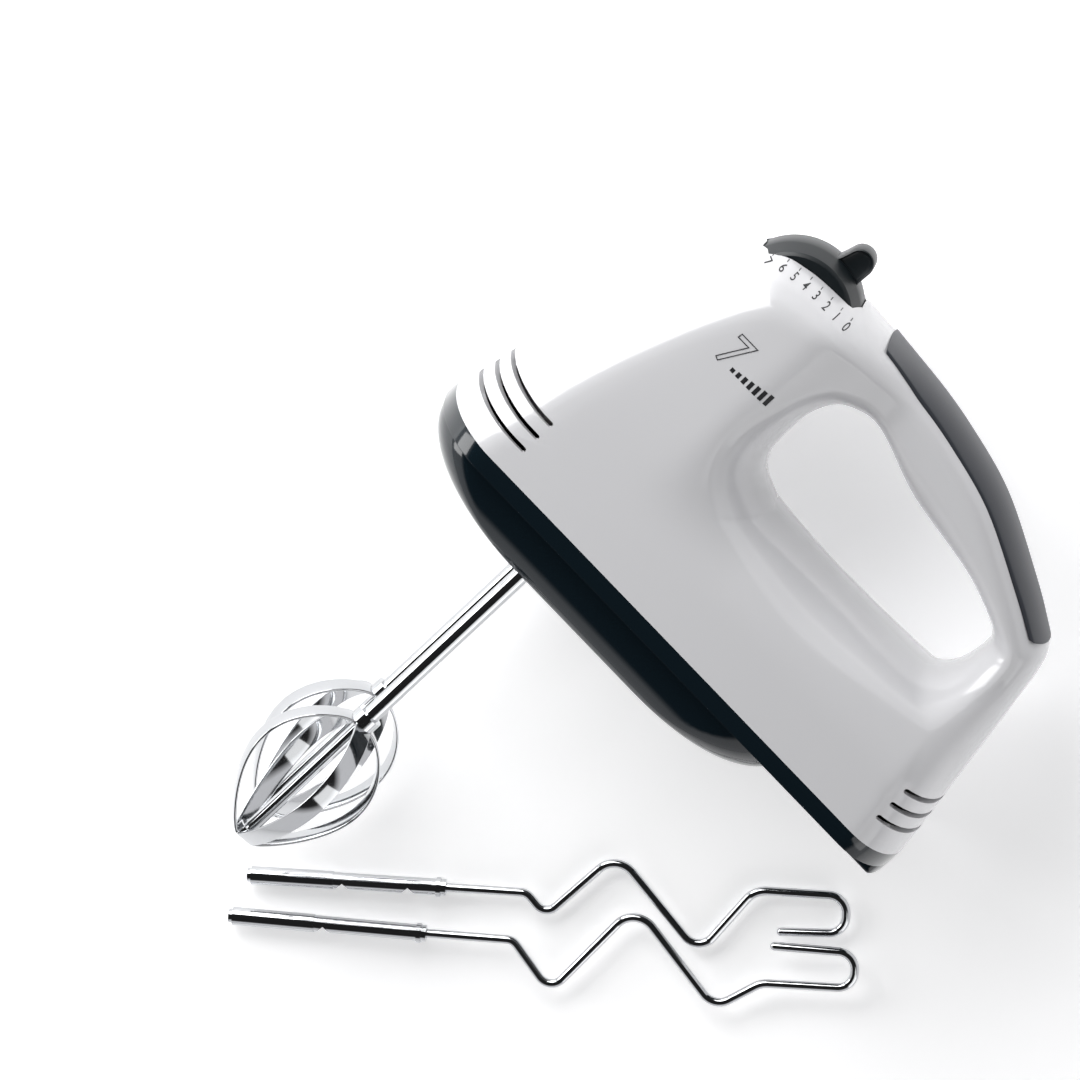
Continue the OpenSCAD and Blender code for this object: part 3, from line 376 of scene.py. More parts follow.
# %% Plastic and metal
def plastic(name, colour, rough, swing=0.06, grain=2500.0, bump=0.1, coat=0.0, shade=0.93):
    material, tree, shader = new_material(name)
    use_group(tree, shader, moulded, bump, {
        "Colour": shade_of(colour, 1), "Shade": shade_of(colour, shade),
        "Grain scale": grain, "Roughness": rough, "Swing": swing})
    shader.inputs["IOR"].default_value = 1.5
    shader.inputs["Coat Weight"].default_value = coat
    shader.inputs["Coat Roughness"].default_value = 0.06
    return material


def metal(name, colour, rough, swing=0.08, lines=900.0, stretch=(1.0, 0.05, 1.0), bump=0.05, shade=0.85):
    material, tree, shader = new_material(name)
    use_group(tree, shader, drawn, bump, {
        "Colour": shade_of(colour, 1), "Shade": shade_of(colour, shade),
        "Line scale": lines, "Stretch": stretch, "Roughness": rough, "Swing": swing})
    shader.inputs["Metallic"].default_value = 1.0
    return material


# %% Stacked sheets and wound wire
def banded(name, colour, dark, rough, pitch, direction, metallic=1.0):
    """Thin bands side by side: stamped sheets in a core, or turns of wire in a coil."""
    material, tree, shader = new_material(name)
    where = add(tree, "TexCoord")
    bands = tree.nodes.new("ShaderNodeTexWave")
    bands.bands_direction = direction
    bands.inputs["Scale"].default_value = 1 / (pitch * MM * 20)
    bands.inputs["Distortion"].default_value = 0.4
    tree.links.new(where.outputs["Object"], bands.inputs["Vector"])
    tint = mixed(tree, "RGBA", bands.outputs["Fac"], shade_of(dark, 1), shade_of(colour, 1))
    tree.links.new(tint, shader.inputs["Base Color"])
    relief = add(tree, "Bump", Strength=0.5, Distance=0.0001)
    tree.links.new(bands.outputs["Fac"], relief.inputs["Height"])
    tree.links.new(relief.outputs[0], shader.inputs["Normal"])
    shader.inputs["Roughness"].default_value = rough
    shader.inputs["Metallic"].default_value = metallic
    return material


# %% The object's finishes
finishes = {
    "white_housing": plastic("glossy white", (0.62, 0.62, 0.633), 0.2, coat=0.5, bump=0.03, shade=0.985),
    "charcoal_base": plastic("glossy charcoal", (0.004, 0.009, 0.013), 0.1, coat=0.25, bump=0.02),
    "grey_grip": plastic("satin grey", (0.036, 0.039, 0.048), 0.42, grain=4200.0, bump=0.35),
    "slate_selector": plastic("satin slate", (0.004, 0.007, 0.009), 0.38, grain=3500.0, bump=0.1),
    "black_rubber": plastic("black rubber", (0.01, 0.01, 0.011), 0.6, bump=0.3),
    "black_plastic": plastic("black plastic", (0.012, 0.012, 0.013), 0.4),
    "inner_plastic": plastic("natural plastic", (0.62, 0.6, 0.53), 0.45, bump=0.2),
    "nylon_gear": plastic("nylon", (0.78, 0.74, 0.62), 0.38, bump=0.15),
    "green_board": plastic("circuit board", (0.02, 0.12, 0.04), 0.35, grain=900.0, bump=0.4, shade=0.6),
    "yellow_film": plastic("capacitor film", (0.62, 0.4, 0.04), 0.25, coat=0.4),
    "carbon": plastic("carbon", (0.012, 0.012, 0.013), 0.5, grain=1800.0, bump=0.5),
    "zinc_steel": metal("zinc plate", (0.62, 0.63, 0.66), 0.28, stretch=(1.0, 1.0, 1.0)),
    "shaft_steel": metal("ground steel", (0.56, 0.57, 0.59), 0.16, stretch=(1.0, 0.05, 1.0)),
    "frame_metal": metal("pressed steel", (0.66, 0.67, 0.68), 0.34, stretch=(0.1, 1.0, 1.0)),
    "brass_parts": metal("brass", (0.72, 0.5, 0.2), 0.25),
    "core_steel": banded("stamped sheets", (0.3, 0.31, 0.33), (0.08, 0.08, 0.09), 0.4, 0.5, "X"),
    "copper_wire": banded("enamelled wire", (0.62, 0.22, 0.07), (0.2, 0.06, 0.02), 0.3, 0.35, "Z"),
    "chrome_steel": metal("chromium plate", (0.6, 0.61, 0.625), 0.07, swing=0.04, bump=0.01, shade=0.94),
}
ink = plastic("printed ink", (0.012, 0.012, 0.014), 0.45, grain=3000.0, bump=0.05)
ink_outline = plastic("printed outline", (0.02, 0.02, 0.024), 0.4, bump=0.05)
print("materials:", len(finishes) + 2)

# %% [markdown]
# ## What the frame carries over
# Gears, screws, shafts and the motor are right as they are in the frame. Each keeps its CAD shape and takes
# the finish that the record names for it.

# %% What the frame carries over
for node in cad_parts.values():
    for held in node.material_slots:
        held.material = finishes[held.material.name.split(".")[0]]
print("finished nodes:", len(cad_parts))

# %% [markdown]
# ## The body's surface
# Such a body is two half shells. Seen from the side it is an outline with an opening for the fingers, and
# at each place in that outline the skin stands at a height over the plane where the halves meet. The height
# falls off roundly at the outer edge and at the opening, as a superellipse does. The same rule is in the
# frame's source; here it has more points, and a soft crease towards the nose.

# %% The body's surface
def ramp(v, a, b):
    t = np.clip((np.asarray(v, float) - a) / (b - a), 0, 1)
    return t * t * (3 - 2 * t)


def quarter(u, power):
    return np.maximum(1 - (1 - np.clip(u, 0, 1)) ** 2, 0) ** (1 / power)


def spline(points, steps, closed=False):
    """A smooth line through points: a Catmull-Rom curve."""
    p = np.asarray(points, float)
    n = len(p)
    at = (lambda i: p[i % n]) if closed else (lambda i: p[min(max(i, 0), n - 1)])
    line = []
    for i in range(n if closed else n - 1):
        a, b, c, d = at(i - 1), at(i), at(i + 1), at(i + 2)
        for t in np.arange(steps) / steps:
            line.append(0.5 * (2 * b + (c - a) * t + (2 * a - 5 * b + 4 * c - d) * t ** 2
                               + (3 * b - a - 3 * c + d) * t ** 3))
    return np.array(line if closed else line + [p[-1]])


# %% The outline and the opening
# The side outline, from the nose over the crest and the handle to the heel: shares of reach and height
crest_shape = [
    (-1, 0), (-0.975, 0.085), (-0.944, 0.169), (-0.907, 0.3), (-0.845, 0.445), (-0.762, 0.579),
    (-0.605, 0.764), (-0.359, 0.945), (-0.15, 0.99), (0.06, 1), (0.159, 0.997), (0.305, 0.99),
    (0.438, 0.965), (0.595, 0.911), (0.771, 0.798), (0.856, 0.734), (0.892, 0.7), (0.912, 0.65),
    (0.93, 0.53), (0.965, 0.265), (1, 0)]
open_shape = [
    (0, 0.38), (0.002, 0.7), (0.048, 0.905), (0.123, 0.986), (0.19, 1), (0.273, 0.955), (0.465, 0.817),
    (0.748, 0.735), (0.906, 0.636), (0.972, 0.564), (1, 0.467), (0.985, 0.2), (0.93, 0.035),
    (0.85, 0), (0.5, 0), (0.2, 0.012), (0.145, 0.035), (0.073, 0.1), (0.024, 0.21)]
open_front, open_floor, open_len, open_h = 24.0, 42.0, 86.0, 42.0
handle_half_w, edge_r = 17.5, 20.0
crest_line = spline([(x * (nose if x < 0 else heel), y * crest) for x, y in crest_shape], 8)
open_line = spline([(open_front + x * open_len, open_floor + y * open_h) for x, y in open_shape], 8, True)
open_mid = np.array([open_front + 0.48 * open_len, open_floor + 0.42 * open_h])
turns = np.arange(1, 64) / 64
joint_line = np.array([(heel - (heel + nose) * (1 - math.cos(math.pi * t)) / 2, 0) for t in turns])
outer_loop = np.vstack([crest_line, joint_line])


# %% Ways to the edge and to the opening
def line_dist(p, line):
    a, ab = line[:-1], np.diff(line, axis=0)
    ap = p[:, None, :] - a[None]
    t = np.clip((ap * ab).sum(2) / np.maximum((ab * ab).sum(1), 1e-9), 0, 1)
    return np.linalg.norm(ap - t[..., None] * ab, axis=2).min(1)


def open_hit(p):
    """Where a ray from the opening's middle through each point leaves the opening."""
    e = np.roll(open_line, -1, axis=0) - open_line
    a = open_line - open_mid
    hits = []
    for d in p - open_mid:
        det = d[0] * e[:, 1] - d[1] * e[:, 0]
        det = np.where(abs(det) < 1e-9, 1e-9, det)
        t = (a[:, 0] * e[:, 1] - a[:, 1] * e[:, 0]) / det
        s = (a[:, 0] * d[1] - a[:, 1] * d[0]) / det
        hits.append(open_mid + d * t[(t > 0) & (s >= -1e-9) & (s <= 1 + 1e-9)].min())
    return np.array(hits)


inner_loop = open_hit(outer_loop)


# %% The height of the skin
# The soft crease: in front of a line across the flank, the skin leans towards the nose
crease_low, crease_high = np.array([-33.0, 22.0]), np.array([-17.0, 76.0])
crease_lean, crease_blend = 0.2, 2.5


def before_crease(p):
    way = (crease_high - crease_low) / np.linalg.norm(crease_high - crease_low)
    ahead = (p[:, 1] - crease_low[1]) * way[0] - (p[:, 0] - crease_low[0]) * way[1]
    fades = ramp(p[:, 1], 2, 24)
    return crease_lean * fades * crease_blend * np.log1p(np.exp(np.clip(ahead / crease_blend, -30, 30)))


def half_width(p, inset):
    at_handle = ramp(p[:, 0], 5, 45)
    low = at_handle * (half_w - handle_half_w) * ramp(p[:, 1], 0.17 * crest, 0.64 * crest)
    front = (1 - at_handle) * 9 * ramp(p[:, 1], 0.3 * crest, 0.9 * crest)
    return half_w - inset - low - front - before_crease(p)


def outer_r(p):
    return (edge_r - (edge_r - 10) * ramp(p[:, 0], -25, 25)
            + 7 * ramp(p[:, 0], 90, 120) * (1 - ramp(p[:, 1], 40, 70)))


def inner_r(p):
    return 14 - 5 * ramp(p[:, 1], 55, 75)


def skin(p, gap, inset=0.0):
    """Height of the skin over the mid-plane, where gap is the way to the opening."""
    edge = quarter((line_dist(p, crest_line) - inset) / (outer_r(p) - inset / 2), 2.2)
    return half_width(p, inset) * edge * quarter((gap - inset) / (inner_r(p) - inset / 2), 2.4)


def skin_at(p, inset=0.0):
    p = np.asarray(p, float)
    return skin(p, np.linalg.norm(open_hit(p) - p, axis=1), inset)


print(f"outline of {len(outer_loop)} points, opening of {len(open_line)}")

# %% [markdown]
# ## Two half shells
# Each section runs from the outer edge to the opening, with its points closer together where the skin
# turns. The inner skin is the same rule a wall's thickness in. Ventilation slits, the selector's room, the
# grip's bed and the screw wells are then cut out, as they would be by slides and pins in the mould.

# %% Two half shells
edge_steps, flat_steps = 12, 9
ring_n = 2 * edge_steps + flat_steps + 1


def places(length, r_a, r_b):
    k = min(1, 0.98 * length / (r_a + r_b))
    a, b = r_a * k / length, r_b * k / length
    quarter_turn = np.arange(edge_steps) / edge_steps * math.pi / 2
    flat = np.arange(flat_steps + 1) / flat_steps
    ends = (np.arange(edge_steps) + 1) / edge_steps * math.pi / 2
    return np.concatenate([a * (1 - np.cos(quarter_turn)), a + (1 - b - a) * flat, 1 - b * (1 - np.sin(ends))])


def section(i, inset):
    a, b = outer_loop[i:i + 1], inner_loop[i:i + 1]
    on_joint = i >= len(crest_line)
    way = (b - a)[0] / np.linalg.norm(b - a)
    a1 = a[0] if on_joint else a[0] + way * inset
    b1 = b[0] - way * inset
    shares = places(np.linalg.norm(b1 - a1), 1.1 * outer_r(a)[0], inner_r(b)[0])
    p = a1 + (b1 - a1) * shares[:, None]
    z = skin(p, np.linalg.norm(b[0] - p, axis=1), inset)
    z[-1] = 0
    if not on_joint:
        z[0] = 0
    return np.column_stack([p, z])


def half_shell(side):
    outside = [section(i, 0) for i in range(len(outer_loop))]
    inside = [section(i, wall)[::-1] for i in range(len(outer_loop))]
    rings = np.array([np.vstack([o, n]) for o, n in zip(outside, inside)])
    rings[:, :, 2] *= side
    return loft("half shell", rings, closed=True)


# %% Slits and the room for the selector
vent_h, vent_heights = 1.7, (9.0, 14.6, 20.2)
vent_front_end, vent_rear_end, vent_inner_z = -28.0, heel - 15, 8.0


def slot_outline(x_end, x_far, y):
    """A slit with one round end."""
    way = 1 if x_end > x_far else -1
    arc = [-math.pi / 2 + math.pi * k / 10 for k in range(11)]
    round_end = [(x_end + way * vent_h / 2 * math.cos(a), y + vent_h / 2 * math.sin(a)) for a in arc]
    return [(x_far, y - vent_h / 2)] + round_end + [(x_far, y + vent_h / 2)]


def vent_cutters(side):
    low, high = sorted((side * vent_inner_z, side * (half_w + 2)))
    bars = []
    for y in vent_heights:
        bars.append(prism(slot_outline(vent_front_end, -nose - 5, y), 2, low, high))
        bars.append(prism(slot_outline(vent_rear_end, heel + 5, y), 2, low, high))
    return bars


drum_x, drum_y, drum_r, drum_half_w = -2.0, crest - 15.7, 20.5, 12.0
press_travel = 4.0


drum_profile = [(-12, 17.4), (-11.3, 18.5), (-5.6, 20.2), (-4.8, drum_r),
                (4.8, drum_r), (5.6, 20.2), (11.3, 18.5), (12, 17.4)]
slot_gap = 0.4


def drum_room():
    """Room for the selector, at rest and pressed, as far from the drum all round."""
    rings = []
    over = [math.pi * k / 40 for k in range(41)]
    for z, r in drum_profile:
        r += slot_gap
        z *= 1 + slot_gap / drum_half_w
        top = [(drum_x + r * math.cos(a), drum_y + r * math.sin(a), z) for a in over]
        under = [(drum_x - r * math.cos(a), drum_y - press_travel - r * math.sin(a), z) for a in over]
        rings.append(top + under)
    return loft("room", rings)


# %% Screw bosses
screw_sites = [(-0.58 * nose, 0.42 * crest), (open_front + 10, crest - 11.5),
               (open_front + open_len + 7.5, open_floor + 14), (heel - 22, 0.24 * crest)]


boss_r, pilot_r, pilot_depth, shank_hole_r, well_r, seat_depth = 3.9, 1.3, 12, 1.7, 3.2, 8


def bosses(side):
    """Tubes that take the screws: blind on the left, with wells for the heads on the right."""
    made = []
    for x, y in screw_sites:
        around = circle(x, y, boss_r, 8)
        top = skin_at(around, wall).min() + 0.4
        if side > 0:
            profile = [(boss_r, top), (boss_r, 0), (pilot_r, 0), (pilot_r, pilot_depth),
                       (0.01, pilot_depth), (0.01, top)]
        else:
            profile = [(boss_r, -top), (boss_r, 0), (shank_hole_r, 0), (shank_hole_r, -seat_depth),
                       (well_r, -seat_depth), (well_r, -top)]
        made.append(lathe(profile, (x, y, 0), 2, 32))
    return made


gland_y, gland_r = 34.0, 6.2
gland_outline = circle(gland_y, 0, gland_r)
print("shell rings:", len(outer_loop), "of", 2 * ring_n, "points")

# %% [markdown]
# ## The grip inlay
# A strip of softer, grained plastic lies in a bed along the handle. It follows the crest a little proud,
# and stops short of the flanks, so a fine dark line shows where it ends.

# %% The grip inlay
grip_proud, grip_depth = 0.5, 1.4
grip_first, grip_last = 81, 126  # places on the outline
grip_half_w = handle_half_w - 3


def grip_rings(extra):
    rings = []
    across = np.linspace(-1, 1, 41)
    for i in range(grip_first, grip_last):
        a, b = outer_loop[i:i + 1], inner_loop[i:i + 1]
        way = (b - a)[0] / np.linalg.norm(b - a)
        mid = a + (b - a) * 0.12
        w, r = half_width(mid, 0)[0], outer_r(mid)[0] * 0.95
        ring = []
        for lift, order in ((grip_proud, across), (-grip_depth, across[::-1])):
            lift += extra if lift > 0 else -extra
            for s in order:
                z = s * (grip_half_w + extra)
                drop = r * (1 - math.sqrt(max(1 - min(abs(z) / w, 1) ** 2.2, 0)))
                q = a[0] + way * (drop - lift)
                ring.append((q[0], q[1], z * (1 + lift / 60)))
        rings.append(ring)
    rings = np.array(rings)
    ends = rings[-1] - rings[-2], rings[0] - rings[1]
    rings[-1] += ends[0] / np.linalg.norm(ends[0][0]) * extra
    rings[0] += ends[1] / np.linalg.norm(ends[1][0]) * extra
    return rings


# %% Both shells and the grip
def build_shell(side, name, node):
    shell = half_shell(side)
    cutters = vent_cutters(side) + [drum_room(), loft("bed", grip_rings(0.18))]
    cutters.append(prism(gland_outline, 0, heel - 20, heel + 9))
    if side < 0:
        cutters += [prism(circle(x, y, well_r, 32), 2, -half_w - 1, -6) for x, y in screw_sites]
    cut(shell, cutters)
    shell = joined(name, [shell] + bosses(side))
    return finish_piece(shell, name, "housing", finishes["white_housing"], [node], 32)


build_shell(1, "shell_left", "housing_left")
build_shell(-1, "shell_right", "housing_right")
grip = loft("grip", grip_rings(0))
soften(grip, 0.3, 40)
finish_piece(grip, "grip_inlay", "housing", finishes["grey_grip"], ["handle_grip"], 50)

# %% [markdown]
# ## The base cover
# The base is one glossy moulding: a flat rim as wide as the body, a boat-shaped hull under the motor, and
# a foot under the heel, on which the mixer stands on end. It is hollow, so its rings go down the outside,
# turn at the bottom and come back up the inside.

# %% The base cover
rim_h, rim_n = 5.5, 72
hull_half_w, hull_rear = 32.0, 95.5
front_rake, rear_rake, side_rake = 36, 27, 7
front_curve, rear_curve = 19, 24
socket_bore_r = 6.2
far_off = 99.0  # the opening is too far off to shape the skin here
shares = (1 - np.cos(np.pi * np.arange(rim_n + 1) / rim_n)) / 2


def mirrored(x, z, y):
    """A closed ring from one flank's line, which is on the mid-plane at both ends."""
    left = [(a, y, b) for a, b in zip(x, z)]
    right = [(a, y, -b) for a, b in zip(x[-2:0:-1], z[-2:0:-1])]
    return left + right


def rim_ring(y, inset):
    x = -nose + inset + (heel + nose - 2 * inset) * shares
    on_joint = np.column_stack([-nose + (heel + nose) * shares, np.zeros(rim_n + 1)])
    z = skin(on_joint, np.full(rim_n + 1, far_off)) * (1 - inset / half_w)
    z[0] = z[-1] = 0
    return mirrored(x, z, y)


def hull_ring(q, y, inset):
    round_in = 1 - math.sqrt(max(1 - q * q, 0))
    low = -(nose - 0.8) + front_rake * round_in + inset
    high = hull_rear - rear_rake * round_in - inset
    x = low + (high - low) * shares
    ends = quarter((x - low) / front_curve, 2.2) * quarter((high - x) / rear_curve, 2.2)
    return mirrored(x, (hull_half_w - side_rake * round_in - inset) * ends, y)


def hull_rings(inset):
    rings = []
    for k in range(13):
        q = math.sin(math.pi / 2 * k / 12)
        rings.append(hull_ring(q, -rim_h - (base_depth - inset - rim_h) * q, inset))
    return rings


outside = [rim_ring(0, 0), rim_ring(-rim_h + 0.3, 0), rim_ring(-rim_h + 0.08, 0.08),
           rim_ring(-rim_h, 0.3)] + hull_rings(0)
inside = [rim_ring(0, wall), rim_ring(-rim_h + wall, wall)] + hull_rings(wall)
cover = loft("cover", inside[::-1] + outside)
socket_bores = [prism(circle(0, s * spindle_z, socket_bore_r), 1, -base_depth - 1, -8) for s in (-1, 1)]
cut(cover, socket_bores)


foot_len, foot_half_w, foot_drop = 18.0, 24.0, 9.3


def foot():
    """The pad under the heel, a little inside the rim."""
    x = np.linspace(heel - foot_len, heel - 0.8, 24)
    z = skin(np.column_stack([x, np.zeros(24)]), np.full(24, far_off)) - 0.7
    half = [(a, min(b, foot_half_w)) for a, b in zip(x, z)]
    outline = half + [(a, -b) for a, b in half[::-1]]
    pad = prism(outline, 1, -foot_drop, -rim_h + 0.5)
    soften(pad, 0.8, 40)
    return pad


cover = joined("cover", [cover, foot()])
finish_piece(cover, "base_moulding", "housing", finishes["charcoal_base"], ["base_cover"], 32)

# %% [markdown]
# ## The speed selector
# The selector is a slice of a drum that sticks out of a slot in the crest. Its top is flat in the middle
# and slopes to both sides, and a thumb tab with a dished face stands on it. The dish lets the thumb push
# it both ways, and pressing it down ejects the beaters.

# %% The speed selector
drum_from, drum_to = -80.0, 92.0
hub_r = 2.4


def drum():
    rings = []
    for angle in np.radians(np.linspace(drum_from, drum_to, 71)):
        section = [(-drum_half_w, hub_r)] + drum_profile + [(drum_half_w, hub_r)]
        rings.append([(drum_x + r * math.sin(angle), drum_y + r * math.cos(angle), z) for z, r in section])
    body = loft("drum", rings)
    soften(body, 0.35, 25)
    hub = lathe([(4.6, -12), (4.6, 12), (2.05, 12), (2.05, -12)], (drum_x, drum_y, 0), 2)
    return joined("drum", [body, hub])


# %% The thumb tab
def tab():
    """A round-topped tab, with a dish in both faces; its outline shrinks towards each dish."""
    lean, base_y = math.radians(9), drum_r - 2.0
    top_y, top_r = 24.3, 4.4
    arc = [math.pi * k / 24 for k in range(25)]
    outline = [(5.4, base_y), (4.8, base_y + 2.4)] + [
        (top_r * math.cos(a), top_y + top_r * math.sin(a)) for a in arc]
    outline += [(-4.8, base_y + 2.4), (-5.4, base_y)]
    outline = np.array(outline)
    middle = np.array([0, top_y])
    levels = [(3.3, 0.62), (3.5, 0.74), (4.3, 0.84), (4.5, 0.9), (4.3, 0.97), (3.9, 1.0)]
    levels = [(-z, s) for z, s in levels] + levels[::-1]
    rings = []
    for z, share in levels:
        flat = middle + (outline - middle) * share
        x = flat[:, 0] * math.cos(lean) + flat[:, 1] * math.sin(lean)
        y = flat[:, 1] * math.cos(lean) - flat[:, 0] * math.sin(lean)
        rings.append([(drum_x + a, drum_y + b, z) for a, b in zip(x, y)])
    return loft("tab", rings)


selector = joined("selector", [drum(), tab()])
finish_piece(selector, "speed_dial", "selector", finishes["slate_selector"],
             ["speed_selector"], 28)

# %% [markdown]
# ## The return spring
# A coil spring under the fork brings the selector back after the beaters are ejected. It is wound from
# round wire, and it shortens as the selector is pressed.

# %% The return spring
spring_wire, spring_turns, per_turn = 0.5, 5, 24


def mixer_mm(place_in_frame):
    return (np.array(place_in_frame) - origin) / MM


spring_lo, spring_hi = (mixer_mm(corner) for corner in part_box("ejector_spring"))
spring_mid = (spring_lo + spring_hi) / 2
spring_r = (spring_hi[0] - spring_lo[0]) / 2 - spring_wire
free_length = spring_hi[1] - spring_lo[1]
coil = []
for i in range(spring_turns * per_turn + 1):
    angle = 2 * math.pi * i / per_turn
    rise = (free_length - 2 * spring_wire) * i / (spring_turns * per_turn)
    ring = []
    for b in np.arange(10) * math.pi / 5:
        r = spring_r + spring_wire * math.cos(b)
        ring.append((spring_mid[0] + r * math.cos(angle),
                     spring_lo[1] + spring_wire + rise + spring_wire * math.sin(b),
                     spring_mid[2] + r * math.sin(angle)))
    coil.append(ring)
spring = finish_piece(loft("coil", coil), "return_spring", "housing",
                      finishes["zinc_steel"], ["ejector_spring"], 50)
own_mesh(spring)
print(f"spring: {free_length:.1f} mm free, {free_length - press_travel:.1f} mm pressed")

# %% [markdown]
# ## Printed numbers
# The steps of the selector are pad-printed on the shoulder beside it, from 7 at the nose to 0 at the
# handle, with a tick for each. Ink follows the skin, so each figure is cut finely and laid on it.

# %% Printed numbers
def laid_on_skin(made, lift):
    """Moves a flat drawing onto the left flank; its x and y are the mixer's own."""
    sheet = bmesh.new()
    sheet.from_mesh(made.data)
    bmesh.ops.triangulate(sheet, faces=sheet.faces)
    for _ in range(3):
        long_edges = [e for e in sheet.edges if e.calc_length() > 0.35]
        bmesh.ops.subdivide_edges(sheet, edges=long_edges, cuts=1)
        bmesh.ops.triangulate(sheet, faces=sheet.faces)
    flat = np.array([v.co[:] for v in sheet.verts])
    height = skin_at(flat[:, :2]) + flat[:, 2] + lift
    for v, row in zip(sheet.verts, place(np.column_stack([flat[:, :2], height]))):
        v.co = row
    sheet.to_mesh(made.data)
    sheet.free()


# %% Figures and bars
def figure(text, size, x, y, outline=0.0):
    """A number drawn flat, centred on a place."""
    drawing = bpy.data.curves.new("figure", "FONT")
    drawing.body = text
    drawing.size = size
    drawing.align_x = "CENTER"
    drawing.align_y = "CENTER"
    drawing.shear = 0.15
    drawing.offset = 0.02
    if outline:
        drawing.fill_mode = "NONE"
        drawing.bevel_depth = outline
        drawing.offset = 0
    holder = bpy.data.objects.new("figure", drawing)
    bpy.context.scene.collection.objects.link(holder)
    mesh = bpy.data.meshes.new_from_object(holder.evaluated_get(bpy.context.evaluated_depsgraph_get()))
    mesh.transform(Matrix.Translation((x, y, 0)))
    bpy.data.objects.remove(holder)
    made = bpy.data.objects.new("figure", mesh)
    bpy.context.scene.collection.objects.link(made)
    return made


def flat_bar(x0, x1, y0, y1):
    mesh = bpy.data.meshes.new("bar")
    mesh.from_pydata([(x0, y0, 0), (x1, y0, 0), (x1, y1, 0), (x0, y1, 0)], [], [(0, 1, 2, 3)])
    made = bpy.data.objects.new("bar", mesh)
    bpy.context.scene.collection.objects.link(made)
    return made


def crest_at(x):
    return float(np.interp(x, crest_line[:140, 0], crest_line[:140, 1]))


# %% The scale
first_x, last_x, steps = -18.0, 11.5, 7
figure_size, figure_drop, tick_from, tick_to = 3.1, 3.9, 2.4, 1.75
scale_parts = []
for k in range(steps + 1):
    x = first_x + (last_x - first_x) * k / steps
    scale_parts.append(figure(str(steps - k), figure_size, x, crest_at(x) - figure_drop))
    scale_parts.append(flat_bar(x - 0.13, x + 0.13, crest_at(x) - tick_from, crest_at(x) - tick_to))
scale = joined("scale", scale_parts)
laid_on_skin(scale, 0.04)
finish_piece(scale, "speed_scale", "housing", ink, angle=60)

# %% [markdown]
# ## A mark for seven speeds
# The flank has one printed mark. Here it is an outlined 7 over seven rising bars, which say the same
# without a word.

# %% A mark for seven speeds
mark_x, mark_y = -6.8, 73.5
seven = figure("7", 15.0, mark_x, mark_y, outline=0.16)
laid_on_skin(seven, 0.0)
finish_piece(seven, "speed_mark", "housing", ink_outline, angle=60)
bar_parts = []
bar_w, bar_step, bar_rise = 1.35, 2.3, 0.4
for k in range(steps):
    left = mark_x + 3.6 + bar_step * k
    bar_parts.append(flat_bar(left, left + bar_w, mark_y - 4.2, mark_y - 2.9 + bar_rise * k))
bars = joined("bars", bar_parts)
laid_on_skin(bars, 0.04)
finish_piece(bars, "speed_bars", "housing", ink, angle=60)

# %% [markdown]
# ## Beater heads
# Four flat steel straps bow out from the shaft and meet at its tip. Each is bent from strip with rolled
# edges, which catch the light. The two heads are turned so that the straps of one pass between the other's.

# %% Beater heads
strap_w, strap_t, core_r = 6.0, 0.9, 2.1
head_r = 20.4
head_top = -91.0
head_len = 50.0
head_end = head_top - head_len


def strap_middle(t):
    bow = math.sin(math.pi * min(max(t, 0), 1) ** 0.82)
    return np.array([core_r + 1 + (head_r - core_r - 1.4) * max(bow, 0) ** 0.8, head_top - head_len * t])


def strap(turn):
    rings = []
    corner = 0.28
    outline = []
    for cx, cz, start in ((1, 1, 0), (-1, 1, 90), (-1, -1, 180), (1, -1, 270)):
        for a in np.radians([start, start + 30, start + 60, start + 90]):
            outline.append((cx * (strap_t / 2 - corner) + corner * math.cos(a),
                            cz * (strap_w / 2 - corner) + corner * math.sin(a)))
    for k in range(73):
        t = (1 - math.cos(math.pi * k / 72)) / 2
        mid = strap_middle(t)
        ahead = strap_middle(min(t + 0.004, 1)) - strap_middle(max(t - 0.004, 0))
        out = np.array([-ahead[1], ahead[0]]) / np.linalg.norm(ahead)
        ring = []
        for across, along in outline:
            r, y = mid + out * across
            ring.append((r * math.cos(turn) + along * math.sin(turn), y,
                         -r * math.sin(turn) + along * math.cos(turn)))
        rings.append(ring)
    return np.array(rings)


# %% Both heads
def beater_head(side, turn, name):
    z = side * spindle_z
    parts = []
    for k in range(4):
        rings = strap(math.radians(turn + 90 * k))
        rings[:, :, 2] += z
        parts.append(loft("strap", rings))
    ferrule = [(core_r, 0), (core_r, 3), (core_r + 1.1, 3), (core_r + 1.4, 2.7), (core_r + 1.4, 0.3),
               (core_r + 1.1, 0)]
    parts.append(lathe(ferrule, (0, head_end, z), 1, 40))
    head = joined(name, parts)
    return finish_piece(head, name + "_cage", name, finishes["chrome_steel"],
                        [name.replace("left_beater", "beater_left").replace("right_beater", "beater_right")
                         + "_head"], 40)


beater_head(1, 20, "left_beater")
beater_head(-1, 25, "right_beater")

# %% [markdown]
# ## Dough hooks
# Each hook is a wire bent over pins, so its middle line is straight runs joined by arcs, and its bends are
# listed as a wire bender is set: how far along, how far across, and the radius. The wire is swept along that
# line, with a rounded end.

# %% Dough hooks
wire_r, shank_r = 1.4, 2.85
left_bends = [(57, 0, 0), (85.5, 0, 4), (91.5, -6.8, 4), (112.8, 14, 7), (138.5, -15.5, 5.5),
              (155, 5.3, 8), (183, 5.3, 5.4), (183, -6.4, 5.4), (162, -7.2, 0)]
right_bends = [(57, 0, 0), (87.5, 0.4, 4), (99.6, -14.6, 4.5), (124.5, 14.6, 7), (150, -15, 6),
               (164, -6, 8), (192.2, -5, 5.2), (192.2, 6.1, 5.2), (166, 5.9, 0)]


def unit(v):
    return v / np.linalg.norm(v)


